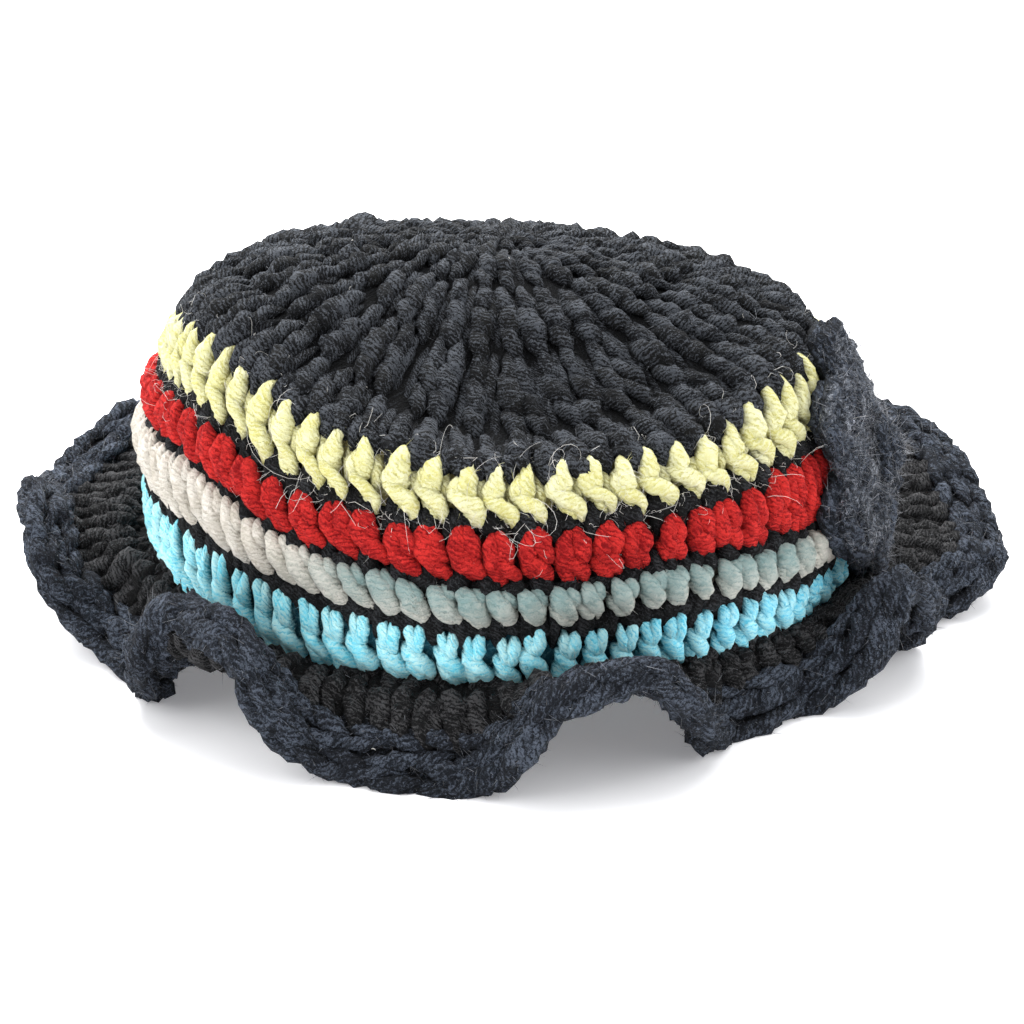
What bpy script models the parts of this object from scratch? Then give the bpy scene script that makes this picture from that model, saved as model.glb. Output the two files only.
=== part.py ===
"""Crocheted bucket hat with a ruffled brim, resting on a flat surface. Metres, +Z up.

The wall of the hat is one soft surface that runs from the middle of the crown down to
the edge of the brim. It is worked out as a grid: a row for each round of the crochet,
a column for each direction round the head. The grid is then cut into the pieces of the
hat at its seams, and each piece gets the thickness of the yarn.
"""

import math

import bmesh
import bpy
import numpy as np

# Driving sizes, metres
HEAD_RADIUS = 0.0890        # outside of the wall at the cream band
KNIT_WALL = 0.0050          # thickness of the crocheted wall
CROWN_RISE = 0.0322         # from the crown's front edge up to its middle
YELLOW_HEIGHT = 0.0121
RED_HEIGHT = 0.0106
CREAM_HEIGHT = 0.0082
TURQUOISE_HEIGHT = 0.0116
BLACK_ROUND_HEIGHT = 0.0020
SEAM_HEIGHT = 0.0190        # from the floor up to the brim's seam, at the front
SIDE_LIFT = 0.0200          # how far the left side of the hat stands above its front
BAND_PUFF = 0.0009          # how far a round of stitches bulges between its seams
CENTRE_RING = 0.0040        # radius of the closed ring that the crown starts from
BRIM_REACH = 0.0300         # from the seam out to the border, on the longest ruffle
RUFFLE_HEIGHT = 0.0300      # from the floor up to the start of the border, on the highest ruffle
BRIM_ARCH = 0.0020          # how far the brim arches up between its seam and its border
BORDER_WIDTH = 0.0150
BORDER_THICKNESS = 0.0090
FLOWER_RADIUS = 0.0300
FLOWER_THICKNESS = 0.0075
FLOWER_CENTRE_RADIUS = 0.0090
FLOWER_CENTRE_HEIGHT = 0.0040
SEAM_GAP = 0.0003           # clearance between neighbouring pieces

# Angles, degrees
BRIM_SEAM_LEAN = 32.0       # how far the wall's outward side faces up at the brim's seam
SHARP_EDGE = 50.0           # edges that turn more than this are shaded as corners

# Counts
COLUMNS = 96                # directions round the head, at the brim
BAND_COLUMNS = 48           # directions round the head, at the crown and the bands
PETALS = 6
PETAL_STEPS = 6             # columns of the mesh in each petal

# Radius of each seam, as a share of HEAD_RADIUS
SEAM_RADIUS = {
    "crown_edge": 0.872,
    "yellow_bottom": 0.938,
    "red_top": 0.950,
    "red_bottom": 0.983,
    "cream_top": 0.994,
    "cream_bottom": 1.000,
    "turquoise_top": 1.000,
    "brim_seam": 0.978,
}

# How far each seam is lifted above its height at the front, as a share of SIDE_LIFT.
# Azimuth in degrees: 0 faces +X, the side of the flower, and -90 faces -Y, the front.
LIFT_COLUMNS = ("azimuth", "crown_edge", "red_top", "cream_top", "turquoise_top", "brim_seam")
LIFT_ROWS = (
    (-180, 0.72, 0.70, 0.86, 0.50, 0.30),
    (-150, 0.96, 0.78, 0.85, 0.50, 0.28),
    (-120, 0.35, 0.22, 0.28, 0.18, 0.00),
    (-90, 0.00, 0.00, 0.00, 0.00, 0.00),
    (-60, 0.06, 0.06, 0.08, 0.05, 0.02),
    (-30, 0.50, 0.25, -0.05, -0.12, 0.00),
    (0, 0.45, 0.30, 0.00, -0.10, 0.05),
    (30, 0.10, 0.10, 0.05, 0.05, 0.10),
    (60, -0.10, -0.05, 0.10, 0.10, 0.12),
    (90, -0.15, -0.05, 0.15, 0.15, 0.15),
    (120, -0.05, 0.10, 0.30, 0.25, 0.20),
    (150, 0.25, 0.40, 0.60, 0.40, 0.28),
)

# Height of the crown over its edge, as a share of the rise to its middle,
# where it has come out from the middle by each share of the crown's radius
CROWN_OUT = (0.00, 0.18, 0.36, 0.55, 0.76, 0.90, 1.00)
CROWN_ROWS = (
    (-180, (1.00, 0.97, 0.95, 0.93, 0.74, 0.46, 0.00)),
    (-90, (1.00, 0.98, 0.86, 0.54, 0.14, 0.04, 0.00)),
    (0, (1.00, 0.95, 0.85, 0.74, 0.55, 0.33, 0.00)),
    (90, (1.00, 0.96, 0.86, 0.70, 0.42, 0.18, 0.00)),
)

# Rows of the brim, as shares of the way from its seam to its border
BRIM_SHARES = (0.50, 1.00)

# The ruffles of the brim, with rows for its valleys and crests: where the border starts,
# with its reach past the seam as a share of BRIM_REACH and its height as a share of
# RUFFLE_HEIGHT, and how many degrees the border droops there. A crest's border stands up
# instead, so its droop is below zero.
RUFFLE_COLUMNS = ("azimuth", "reach", "height", "droop")
RUFFLE_ROWS = (
    (-178, 0.65, 0.88, -36),
    (-169, 0.56, 0.68, -20),
    (-159, 0.24, 0.48, 50),
    (-148, 0.20, 0.45, 62),
    (-135, 0.34, 0.74, -62),
    (-124, 0.36, 0.78, -56),
    (-110, 0.34, 0.48, 58),
    (-94, 0.38, 0.45, 62),
    (-84, 0.34, 0.80, -10),
    (-74, 0.34, 0.84, -28),
    (-56, 0.10, 0.47, 76),
    (-43, 0.12, 0.47, 74),
    (-30, 0.32, 0.76, -42),
    (-11, 0.38, 0.50, 70),
    (4, 0.96, 0.54, 14),
    (22, 1.00, 0.92, -4),
    (36, 0.92, 1.00, -10),
    (56, 0.42, 0.45, 60),
    (76, 0.63, 0.92, -30),
    (96, 0.38, 0.45, 62),
    (115, 0.58, 0.92, -28),
    (132, 0.42, 0.46, 58),
    (148, 0.68, 1.00, -16),
    (166, 0.76, 0.84, 0),
)

# Cross-section of the border: how far past the brim, as a share of BORDER_WIDTH, and
# how far above the middle of the wall, as a share of BORDER_THICKNESS
BORDER_SECTION = (
    (0.00, 0.28), (0.30, 0.48), (0.82, 0.48), (1.00, 0.20),
    (1.00, -0.20), (0.82, -0.48), (0.30, -0.48), (0.00, -0.28),
)

# Where the flower's middle is sewn on: its azimuth, and its height between the brim's
# seam and the crown's edge
FLOWER_AZIMUTH = -15.0
FLOWER_HEIGHT_SHARE = 0.55

# Upper and lower side of the petals: how far out from the flower's middle, as a share of
# its radius there, and how far off the hat, as a share of FLOWER_THICKNESS
PETAL_UPPER = ((0.14, 0.62), (0.45, 0.80), (0.75, 1.00), (0.95, 0.85), (1.00, 0.55))
PETAL_LOWER = ((0.14, 0.00), (0.45, 0.00), (0.75, 0.05), (0.95, 0.18), (1.00, 0.40))
PETAL_NOTCH = 0.20          # depth of the notch between two petals, as a share of the radius
PETAL_ROUNDNESS = 0.70      # below 1 the petals are broad and the notches narrow

# The flower's centre sits this high on the petals, as a share of FLOWER_THICKNESS, and has
# these sides, with heights as a share of FLOWER_CENTRE_HEIGHT
CENTRE_SEAT = 0.80
CENTRE_UPPER = ((0.25, 1.00), (0.65, 0.85), (0.92, 0.50), (1.00, 0.15))
CENTRE_LOWER = ((0.25, 0.00), (0.65, 0.00), (0.92, 0.00))

# Colour, roughness and metallic value of each yarn
YARNS = {
    "charcoal": ((0.030, 0.032, 0.036, 1.0), 0.95, 0.0),
    "yellow": ((0.88, 0.86, 0.42, 1.0), 0.92, 0.0),
    "red": ((0.55, 0.020, 0.022, 1.0), 0.92, 0.0),
    "cream": ((0.76, 0.74, 0.66, 1.0), 0.92, 0.0),
    "turquoise": ((0.30, 0.72, 0.85, 1.0), 0.92, 0.0),
    "navy": ((0.022, 0.028, 0.042, 1.0), 0.98, 0.0),
}

# The yarn that each piece is worked in
PIECE_YARNS = {
    "crown": "charcoal",
    "yellow_band": "yellow",
    "black_round_upper": "charcoal",
    "red_band": "red",
    "black_round_middle": "charcoal",
    "cream_band": "cream",
    "black_round_lower": "charcoal",
    "turquoise_band": "turquoise",
    "brim": "charcoal",
    "brim_border": "navy",
    "side_flower": "navy",
    "flower_centre": "navy",
}


def clear_scene():
    for item in list(bpy.data.objects):
        bpy.data.objects.remove(item, do_unlink=True)


def yarn_material(name):
    colour, roughness, metallic = YARNS[name]
    material = bpy.data.materials.new(name + "_yarn")
    material.use_nodes = True
    shader = material.node_tree.nodes["Principled BSDF"]
    shader.inputs["Base Color"].default_value = colour
    shader.inputs["Roughness"].default_value = roughness
    shader.inputs["Metallic"].default_value = metallic
    material.diffuse_color = colour
    return material


def round_spline(degrees, values, at):
    """Smooth closed curve through (degrees, values), read at the azimuths `at`.

    Each span is a cubic whose end slopes are flat at a peak or a dip, so that a crest
    stays a crest and nothing overshoots."""
    knots = np.asarray(degrees, float)
    order = np.argsort(knots)
    knots = knots[order]
    heights = np.asarray(values, float)[order]
    knots = np.concatenate((knots[-2:] - 360.0, knots, knots[:2] + 360.0))
    heights = np.concatenate((heights[-2:], heights, heights[:2]))
    steps = np.diff(knots)
    slopes = np.diff(heights) / steps
    before, after = slopes[:-1], slopes[1:]
    blend = before * after
    total = before + after
    safe = np.where(np.abs(total) > 1e-12, total, 1.0)
    inner = np.where(blend > 0.0, 2.0 * blend / safe, 0.0)
    tangents = np.concatenate(((0.0,), inner, (0.0,)))
    wrapped = (np.asarray(at, float) + 180.0) % 360.0 - 180.0
    span = np.clip(np.searchsorted(knots, wrapped, side="right") - 1, 0, len(knots) - 2)
    t = (wrapped - knots[span]) / steps[span]
    return ((2 * t**3 - 3 * t**2 + 1) * heights[span]
            + (t**3 - 2 * t**2 + t) * steps[span] * tangents[span]
            + (-2 * t**3 + 3 * t**2) * heights[span + 1]
            + (t**3 - t**2) * steps[span] * tangents[span + 1])


def seam_base_heights():
    """Height of each seam at the front of the hat, from the brim up."""
    seam = SEAM_HEIGHT
    turquoise_top = seam + TURQUOISE_HEIGHT
    cream_bottom = turquoise_top + BLACK_ROUND_HEIGHT
    cream_top = cream_bottom + CREAM_HEIGHT
    red_bottom = cream_top + BLACK_ROUND_HEIGHT
    red_top = red_bottom + RED_HEIGHT
    yellow_bottom = red_top + BLACK_ROUND_HEIGHT
    crown_edge = yellow_bottom + YELLOW_HEIGHT
    return {
        "crown_edge": crown_edge,
        "yellow_bottom": yellow_bottom,
        "red_top": red_top,
        "red_bottom": red_bottom,
        "cream_top": cream_top,
        "cream_bottom": cream_bottom,
        "turquoise_top": turquoise_top,
        "brim_seam": seam,
    }


def seam_lift(name, azimuth):
    """Lift of one seam over its height at the front. A seam without a column of its
    own moves with the seam on the other side of the thin black round."""
    follows = {"yellow_bottom": "red_top", "red_bottom": "cream_top", "cream_bottom": "turquoise_top"}
    column = LIFT_COLUMNS.index(follows.get(name, name))
    rows = np.array(LIFT_ROWS, float)
    return SIDE_LIFT * round_spline(rows[:, 0], rows[:, column], azimuth)


def polar(azimuth, radius, height):
    angle = np.radians(azimuth)
    radius = np.broadcast_to(radius, azimuth.shape)
    height = np.broadcast_to(height, azimuth.shape)
    return np.stack((radius * np.cos(angle), radius * np.sin(angle), height), axis=-1)


def crown_share(out, azimuth):
    """Height share of the crown at one share of the way out, for every azimuth."""
    corners = [row[0] for row in CROWN_ROWS]
    heights = [np.interp(out, CROWN_OUT, row[1]) for row in CROWN_ROWS]
    return round_spline(corners, heights, azimuth)


def crown_rows(azimuth):
    """Rows of the crown from its centre ring to its edge."""
    edge_radius = SEAM_RADIUS["crown_edge"] * HEAD_RADIUS
    base = seam_base_heights()["crown_edge"]
    middle = base + CROWN_RISE
    edge = base + seam_lift("crown_edge", azimuth)
    first = CENTRE_RING / edge_radius
    rows = []
    for out in (first,) + CROWN_OUT[1:]:
        height = edge + (middle - edge) * crown_share(out, azimuth)
        rows.append(polar(azimuth, out * edge_radius, height))
    return rows


def band_rows(upper, lower, azimuth, puff):
    """Rows of one band below its upper seam: a puffed middle row, if any, and the
    lower seam."""
    base = seam_base_heights()
    ends = []
    for name in (upper, lower):
        height = base[name] + seam_lift(name, azimuth)
        ends.append((SEAM_RADIUS[name] * HEAD_RADIUS, height))
    rows = []
    if puff > 0.0:
        radius = 0.5 * (ends[0][0] + ends[1][0]) + puff
        rows.append(polar(azimuth, radius, 0.5 * (ends[0][1] + ends[1][1])))
    rows.append(polar(azimuth, ends[1][0], ends[1][1]))
    return rows


def ruffle_values(azimuth):
    """Reach, height and droop of the border's start, for every azimuth."""
    rows = np.array(RUFFLE_ROWS, float)
    curves = {}
    for name in RUFFLE_COLUMNS[1:]:
        curves[name] = round_spline(rows[:, 0], rows[:, RUFFLE_COLUMNS.index(name)], azimuth)
    droop = np.radians(curves["droop"])
    return BRIM_REACH * curves["reach"], RUFFLE_HEIGHT * curves["height"], droop


def brim_rows(azimuth):
    """Rows of the brim from its middle to its border."""
    seam_radius = SEAM_RADIUS["brim_seam"] * HEAD_RADIUS
    seam_height = seam_base_heights()["brim_seam"] + seam_lift("brim_seam", azimuth)
    reach, border_height, _ = ruffle_values(azimuth)
    rows = []
    for share in BRIM_SHARES:
        height = seam_height + (border_height - seam_height) * share
        arch = BRIM_ARCH * math.sin(math.pi * share)
        rows.append(polar(azimuth, seam_radius + reach * share, height + arch))
    return rows


def border_row(azimuth):
    """The border's outer edge: its width past the brim, turned down by its droop."""
    seam_radius = SEAM_RADIUS["brim_seam"] * HEAD_RADIUS
    reach, height, droop = ruffle_values(azimuth)
    radius = seam_radius + reach + BORDER_WIDTH * np.cos(droop)
    return polar(azimuth, radius, height - BORDER_WIDTH * np.sin(droop))


def surface_normals(grid, azimuth, brim_seam):
    """Unit normals of the whole wall, pointing out of the hat. Along the brim's seam
    they all lean up by the same angle, so the ruffles don't disturb the band above."""
    round_step = np.roll(grid, -1, axis=0) - np.roll(grid, 1, axis=0)
    down_step = np.gradient(grid, axis=1)
    normals = np.cross(down_step, round_step)
    lean = math.radians(BRIM_SEAM_LEAN)
    normals[:, brim_seam] = polar(azimuth, math.cos(lean), math.sin(lean))
    return normals / np.linalg.norm(normals, axis=-1, keepdims=True)


def pull_back(surface, distance):
    """Draws the first and last row of a piece towards its middle, to leave a gap."""
    moved = surface.copy()
    for end, inner in ((0, 1), (-1, -2)):
        step = surface[:, inner] - surface[:, end]
        moved[:, end] += distance * step / np.linalg.norm(step, axis=-1, keepdims=True)
    return moved


def add_object(name, points, faces, yarn, collection):
    """Closed solid from its points and faces, with its faces turned outwards."""
    mesh = bpy.data.meshes.new(name)
    mesh.from_pydata([tuple(point) for point in points], [], faces)
    work = bmesh.new()
    work.from_mesh(mesh)
    bmesh.ops.recalc_face_normals(work, faces=work.faces)
    bmesh.ops.triangulate(work, faces=work.faces, quad_method="FIXED")
    work.to_mesh(mesh)
    work.free()
    mesh.shade_smooth()
    mesh.set_sharp_from_angle(angle=math.radians(SHARP_EDGE))
    piece = bpy.data.objects.new(name, mesh)
    piece.data.materials.append(yarn)
    collection.objects.link(piece)
    return piece


def ring_loft(sections):
    """Points and faces of a closed tube: `sections` holds a closed section for each
    column round the head. The face that closes a section starts at its other corner,
    so that two pieces that meet at a seam are cut along the same diagonal."""
    columns, count = sections.shape[:2]
    faces = []
    for column in range(columns):
        here, beside = column * count, (column + 1) % columns * count
        for row in range(count - 1):
            faces.append((here + row, beside + row, beside + row + 1, here + row + 1))
        faces.append((here, here + count - 1, beside + count - 1, beside))
    return sections.reshape(-1, 3), faces


def dome_loft(outer, inner):
    """Points and faces of a closed dome wall. Both surfaces run from the centre ring
    to the edge, and each is closed at its centre by a fan."""
    sections = np.concatenate((outer, inner[:, ::-1]), axis=1)
    columns, count = sections.shape[:2]
    points = sections.reshape(-1, 3)
    tops = np.stack((outer[:, 0].mean(axis=0), inner[:, 0].mean(axis=0)))
    faces = []
    for column in range(columns):
        beside = (column + 1) % columns
        for row in range(count - 1):
            faces.append((column * count + row, beside * count + row,
                          beside * count + row + 1, column * count + row + 1))
        faces.append((column * count, len(points), beside * count))
        faces.append((beside * count + count - 1, len(points) + 1, column * count + count - 1))
    return np.concatenate((points, tops)), faces


def wall_grid(azimuth):
    """The whole wall as a grid, and the first and last row of each piece of it."""
    rows = crown_rows(azimuth)
    spans = {"crown": (0, len(rows) - 1)}
    bands = (
        ("yellow_band", "crown_edge", "yellow_bottom", BAND_PUFF),
        ("black_round_upper", "yellow_bottom", "red_top", 0.0),
        ("red_band", "red_top", "red_bottom", BAND_PUFF),
        ("black_round_middle", "red_bottom", "cream_top", 0.0),
        ("cream_band", "cream_top", "cream_bottom", BAND_PUFF),
        ("black_round_lower", "cream_bottom", "turquoise_top", 0.0),
        ("turquoise_band", "turquoise_top", "brim_seam", BAND_PUFF),
    )
    for name, upper, lower, puff in bands:
        start = len(rows) - 1
        rows += band_rows(upper, lower, azimuth, puff)
        spans[name] = (start, len(rows) - 1)
    start = len(rows) - 1
    rows += brim_rows(azimuth)
    spans["brim"] = (start, len(rows) - 1)
    rows.append(border_row(azimuth))
    return np.stack(rows, axis=1), spans


def border_sections(grid, normals, row):
    """Closed sections of the border. Its first face lies against the brim's end face,
    so it is square to the wall there, and the rest is square to the border itself."""
    start = grid[:, row]
    along = grid[:, row + 1] - start
    along /= np.linalg.norm(along, axis=-1, keepdims=True)
    seam_normal = normals[:, row]
    normal = seam_normal - along * np.sum(seam_normal * along, axis=-1, keepdims=True)
    normal /= np.linalg.norm(normal, axis=-1, keepdims=True)
    middle = start - seam_normal * KNIT_WALL * 0.5 + along * SEAM_GAP
    points = []
    for across, above in BORDER_SECTION:
        upright = seam_normal if across == 0.0 else normal
        points.append(middle + along * across * BORDER_WIDTH + upright * above * BORDER_THICKNESS)
    return np.stack(points, axis=1)


def side_radius(azimuth, height):
    """Radius of the banded side's outer surface at paired azimuths and heights."""
    base = seam_base_heights()
    names = list(SEAM_RADIUS)[::-1]
    heights = np.stack([base[name] + seam_lift(name, azimuth) for name in names])
    radii = [SEAM_RADIUS[name] * HEAD_RADIUS for name in names]
    return np.array([np.interp(at, heights[:, i], radii) for i, at in enumerate(height)])


def flower_row(outline, turn, lift):
    """One closed row of points of the flower: `outline` out from its middle in each
    direction `turn`, wrapped round the side of the hat and `lift` off its surface."""
    sewn_at = np.array([FLOWER_AZIMUTH])
    base = seam_base_heights()
    low = base["brim_seam"] + seam_lift("brim_seam", sewn_at)[0]
    high = base["crown_edge"] + seam_lift("crown_edge", sewn_at)[0]
    azimuth = FLOWER_AZIMUTH + np.degrees(outline * np.cos(turn) / HEAD_RADIUS)
    height = low + (high - low) * FLOWER_HEIGHT_SHARE + outline * np.sin(turn)
    surface = side_radius(azimuth, height) + BAND_PUFF + SEAM_GAP
    return polar(azimuth, surface + lift, height)


def flower_dome(outline, turn, upper, lower, seat, thickness):
    """Points and faces of a flat dome on the flower, from its upper and lower sides."""
    sides = []
    for rows in (upper, lower):
        points = [flower_row(outline * out, turn, seat + rise * thickness) for out, rise in rows]
        sides.append(np.stack(points, axis=1))
    return dome_loft(*sides)


def flower_solids():
    """Points and faces of the petals and of the flower's centre."""
    steps = PETALS * PETAL_STEPS
    turn = np.arange(steps) * 2.0 * np.pi / steps
    lobes = np.abs(np.sin(0.5 * PETALS * turn)) ** PETAL_ROUNDNESS
    petal_outline = FLOWER_RADIUS * (1.0 - PETAL_NOTCH + PETAL_NOTCH * lobes)
    petals = flower_dome(petal_outline, turn, PETAL_UPPER, PETAL_LOWER, 0.0, FLOWER_THICKNESS)
    centre_outline = np.full(steps, FLOWER_CENTRE_RADIUS)
    seat = CENTRE_SEAT * FLOWER_THICKNESS + SEAM_GAP
    centre = flower_dome(centre_outline, turn, CENTRE_UPPER, CENTRE_LOWER, seat, FLOWER_CENTRE_HEIGHT)
    return petals, centre


def wall_solids():
    """Points and faces of every piece of the hat's wall, by name."""
    azimuth = np.arange(COLUMNS) * 360.0 / COLUMNS - 180.0
    grid, spans = wall_grid(azimuth)
    brim_seam, border_seam = spans["brim"]
    normals = surface_normals(grid, azimuth, brim_seam)
    inner = grid - normals * KNIT_WALL
    solids = {}
    for name, (first, last) in spans.items():
        step = 1 if name == "brim" else COLUMNS // BAND_COLUMNS
        outside = pull_back(grid[::step, first:last + 1], SEAM_GAP * 0.5)
        inside = pull_back(inner[::step, first:last + 1], SEAM_GAP * 0.5)
        if name == "crown":
            outside[:, 0] = grid[::step, 0]
            inside[:, 0] = inner[::step, 0]
            solids[name] = dome_loft(outside, inside)
        else:
            solids[name] = ring_loft(np.concatenate((outside, inside[:, ::-1]), axis=1))
    solids["brim_border"] = ring_loft(border_sections(grid, normals, border_seam))
    return solids


def build():
    clear_scene()
    collection = bpy.data.collections.new("crocheted_bucket_hat")
    bpy.context.scene.collection.children.link(collection)
    yarns = {name: yarn_material(name) for name in YARNS}

    solids = wall_solids()
    solids["side_flower"], solids["flower_centre"] = flower_solids()
    for name in ("brim", "brim_border"):
        points = solids[name][0]
        points[:, 2] = np.maximum(points[:, 2], 0.0)    # the hat's weight flattens its lowest yarn
    everything = np.concatenate([points for points, faces in solids.values()])
    shift = 0.5 * (everything.min(axis=0) + everything.max(axis=0))
    shift[2] = everything[:, 2].min()
    for name, (points, faces) in solids.items():
        add_object(name, points - shift, faces, yarns[PIECE_YARNS[name]], collection)


build()
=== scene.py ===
"""The looks of a crocheted bucket hat with a ruffled brim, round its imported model.

Every piece is yarn: strands that follow the path of real crochet stitches over the
wall of the hat, a backing that closes the wall behind them, and the loose hairs of the
wool. All of it is worked out as numpy arrays on one surface, the wall of the hat, which
is read at an azimuth round the head and a distance down from the middle of the crown.
Azimuth 0 faces +X, the side of the flower, and -90 faces -Y, the front. Metres, +Z up.
"""

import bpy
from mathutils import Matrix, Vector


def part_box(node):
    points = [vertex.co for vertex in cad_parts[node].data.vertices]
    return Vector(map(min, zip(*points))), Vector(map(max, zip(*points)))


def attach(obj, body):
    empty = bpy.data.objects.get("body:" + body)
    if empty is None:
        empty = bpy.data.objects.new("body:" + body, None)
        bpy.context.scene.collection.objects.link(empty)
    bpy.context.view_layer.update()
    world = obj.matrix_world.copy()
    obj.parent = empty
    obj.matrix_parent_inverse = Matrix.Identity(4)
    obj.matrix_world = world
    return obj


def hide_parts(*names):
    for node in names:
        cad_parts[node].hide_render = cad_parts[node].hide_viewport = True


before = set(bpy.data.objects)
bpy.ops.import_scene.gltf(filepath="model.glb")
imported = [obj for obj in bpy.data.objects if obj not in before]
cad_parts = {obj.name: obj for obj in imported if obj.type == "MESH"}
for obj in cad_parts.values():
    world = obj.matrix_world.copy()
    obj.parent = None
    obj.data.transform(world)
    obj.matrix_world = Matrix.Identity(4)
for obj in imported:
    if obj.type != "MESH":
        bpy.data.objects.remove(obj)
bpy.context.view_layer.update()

import logging
import math
from dataclasses import dataclass, replace
from enum import Enum
from functools import cache
from typing import Callable, Sequence

import bpy
import numpy as np

LOG = logging.getLogger("hat")
BODY = "root"
MM = 0.001

Colour = tuple[float, float, float]
Row = tuple[float, ...]
ByAzimuth = Callable[[np.ndarray], np.ndarray]

# What the meshes carry for their materials: the UV map runs along each strand in
# millimetres and once round it; tone is a number of each strand's own, proud is 0 in the
# gaps and 1 on the highest yarn and the yarn materials paint shade where it is low, and
# shade is the share of a yarn's second colour.
UV_MAP = "strand"
POINT_VALUES = ("tone", "proud", "shade")


class Face(Enum):
    """The face of the wall that a stitch lies on."""

    OUTER = 1.0
    INNER = -1.0


class Coat(Enum):
    """Where on a strand its loose fibres grow, as the lowest sine of the angle up."""

    OUTWARD = -0.2
    ALL_ROUND = -1.0


class Slot(Enum):
    """The record's material slots."""

    CHARCOAL = "charcoal_yarn"
    YELLOW = "yellow_yarn"
    RED = "red_yarn"
    CREAM = "cream_yarn"
    TURQUOISE = "turquoise_yarn"
    NAVY = "navy_yarn"


class Seam(Enum):
    """The seams of the wall that the table of lifts has, by its columns."""

    CROWN_EDGE = 1
    RED_TOP = 2
    CREAM_TOP = 3
    TURQUOISE_TOP = 4
    BRIM = 5


# Node materials


@dataclass(frozen=True)
class Signal:
    """A number or vector that changes over a surface, with arithmetic on numbers that
    adds Math nodes."""

    shading: "Shading"
    socket: bpy.types.NodeSocket | None

    def _maths(self, operation: str, *values: "Signal | float") -> "Signal":
        """One Math node on these values."""
        return self.shading.node("ShaderNodeMath", {"operation": operation}, *values)

    def __add__(self, other: "Signal | float") -> "Signal":
        """Sum."""
        return self._maths("ADD", self, other)

    __radd__ = __add__

    def __mul__(self, other: "Signal | float") -> "Signal":
        """Product."""
        return self._maths("MULTIPLY", self, other)

    __rmul__ = __mul__

    def __sub__(self, other: "Signal | float") -> "Signal":
        """Difference."""
        return self._maths("SUBTRACT", self, other)

    def __rsub__(self, other: "Signal | float") -> "Signal":
        """Difference from a plain number."""
        return self._maths("SUBTRACT", other, self)

    def __pow__(self, power: float) -> "Signal":
        """Power."""
        return self._maths("POWER", self, power)

    def __abs__(self) -> "Signal":
        """Size without its sign."""
        return self._maths("ABSOLUTE", self)

    def sine(self) -> "Signal":
        """Sine of an angle in radians."""
        return self._maths("SINE", self)

    def clamped(self) -> "Signal":
        """The value held between 0 and 1."""
        return self.shading.node("ShaderNodeClamp", {}, self)

    def parts(self) -> list["Signal"]:
        """The X, Y and Z of a vector."""
        node = self.shading.node("ShaderNodeSeparateXYZ", {}, self).socket.node
        return [Signal(self.shading, socket) for socket in node.outputs]


class Shading:
    """Builds one material's node tree."""

    def __init__(self, name: str) -> None:
        """Starts a material with an empty tree.

        Args:
            name: The material's name.
        """
        self.material = bpy.data.materials.new(name)
        self.material.use_nodes = True
        self.tree = self.material.node_tree
        self.tree.nodes.clear()

    def node(self, kind: str, settings: dict[str, object], *values: object,
             output: int | str = 0, **named: object) -> Signal:
        """Adds one node.

        Args:
            kind: The node's type.
            settings: Its own properties, set first.
            values: What goes into its sockets in order; None leaves one as it is.
            output: The socket that the result is read from.
            named: What goes into its sockets by name, with _ for a space.

        Returns:
            The node's output, if it has any.
        """
        node = self.tree.nodes.new(kind)
        for key, value in settings.items():
            setattr(node, key, value)
        pairs = list(zip(node.inputs, values))
        pairs += [(node.inputs[key.replace("_", " ")], value) for key, value in named.items()]
        for socket, value in pairs:
            if isinstance(value, Signal):
                self.tree.links.new(value.socket, socket)
            elif value is not None:
                socket.default_value = value
        return Signal(self, node.outputs[output] if node.outputs else None)

    def attribute(self, name: str) -> Signal:
        """A number stored on the mesh."""
        return self.node("ShaderNodeAttribute", {"attribute_name": name}, output="Fac")

    def place(self) -> Signal:
        """The object's own coordinates."""
        return self.node("ShaderNodeTexCoord", {}, output="Object")

    def noise(self, vector: Signal, scale: float, detail: float, roughness: float = 0.5,
              distortion: float = 0.0) -> Signal:
        """Fractal noise from 0 to 1."""
        return self.node("ShaderNodeTexNoise", {}, Vector=vector, Scale=scale, Detail=detail,
                         Roughness=roughness, Distortion=distortion, output="Fac")

    def blend(self, factor: Signal, first: Signal | Colour, second: Signal | Colour) -> Signal:
        """Mixes two colours. A Mix node's sockets for colours come after its factors and
        those for numbers and vectors, as its third output does."""
        colours = [each if isinstance(each, Signal) else (*each, 1.0) for each in (first, second)]
        return self.node("ShaderNodeMix", {"data_type": "RGBA"}, factor, *[None] * 5, *colours,
                         output=2)

    def surface(self, **sockets: object) -> bpy.types.Material:
        """Closes the tree with a Principled shader.

        Args:
            sockets: What goes into its sockets by name, with _ for a space.

        Returns:
            The finished material.
        """
        shader = self.node("ShaderNodeBsdfPrincipled", {}, **sockets)
        self.node("ShaderNodeOutputMaterial", {}, shader)
        return self.material


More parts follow.
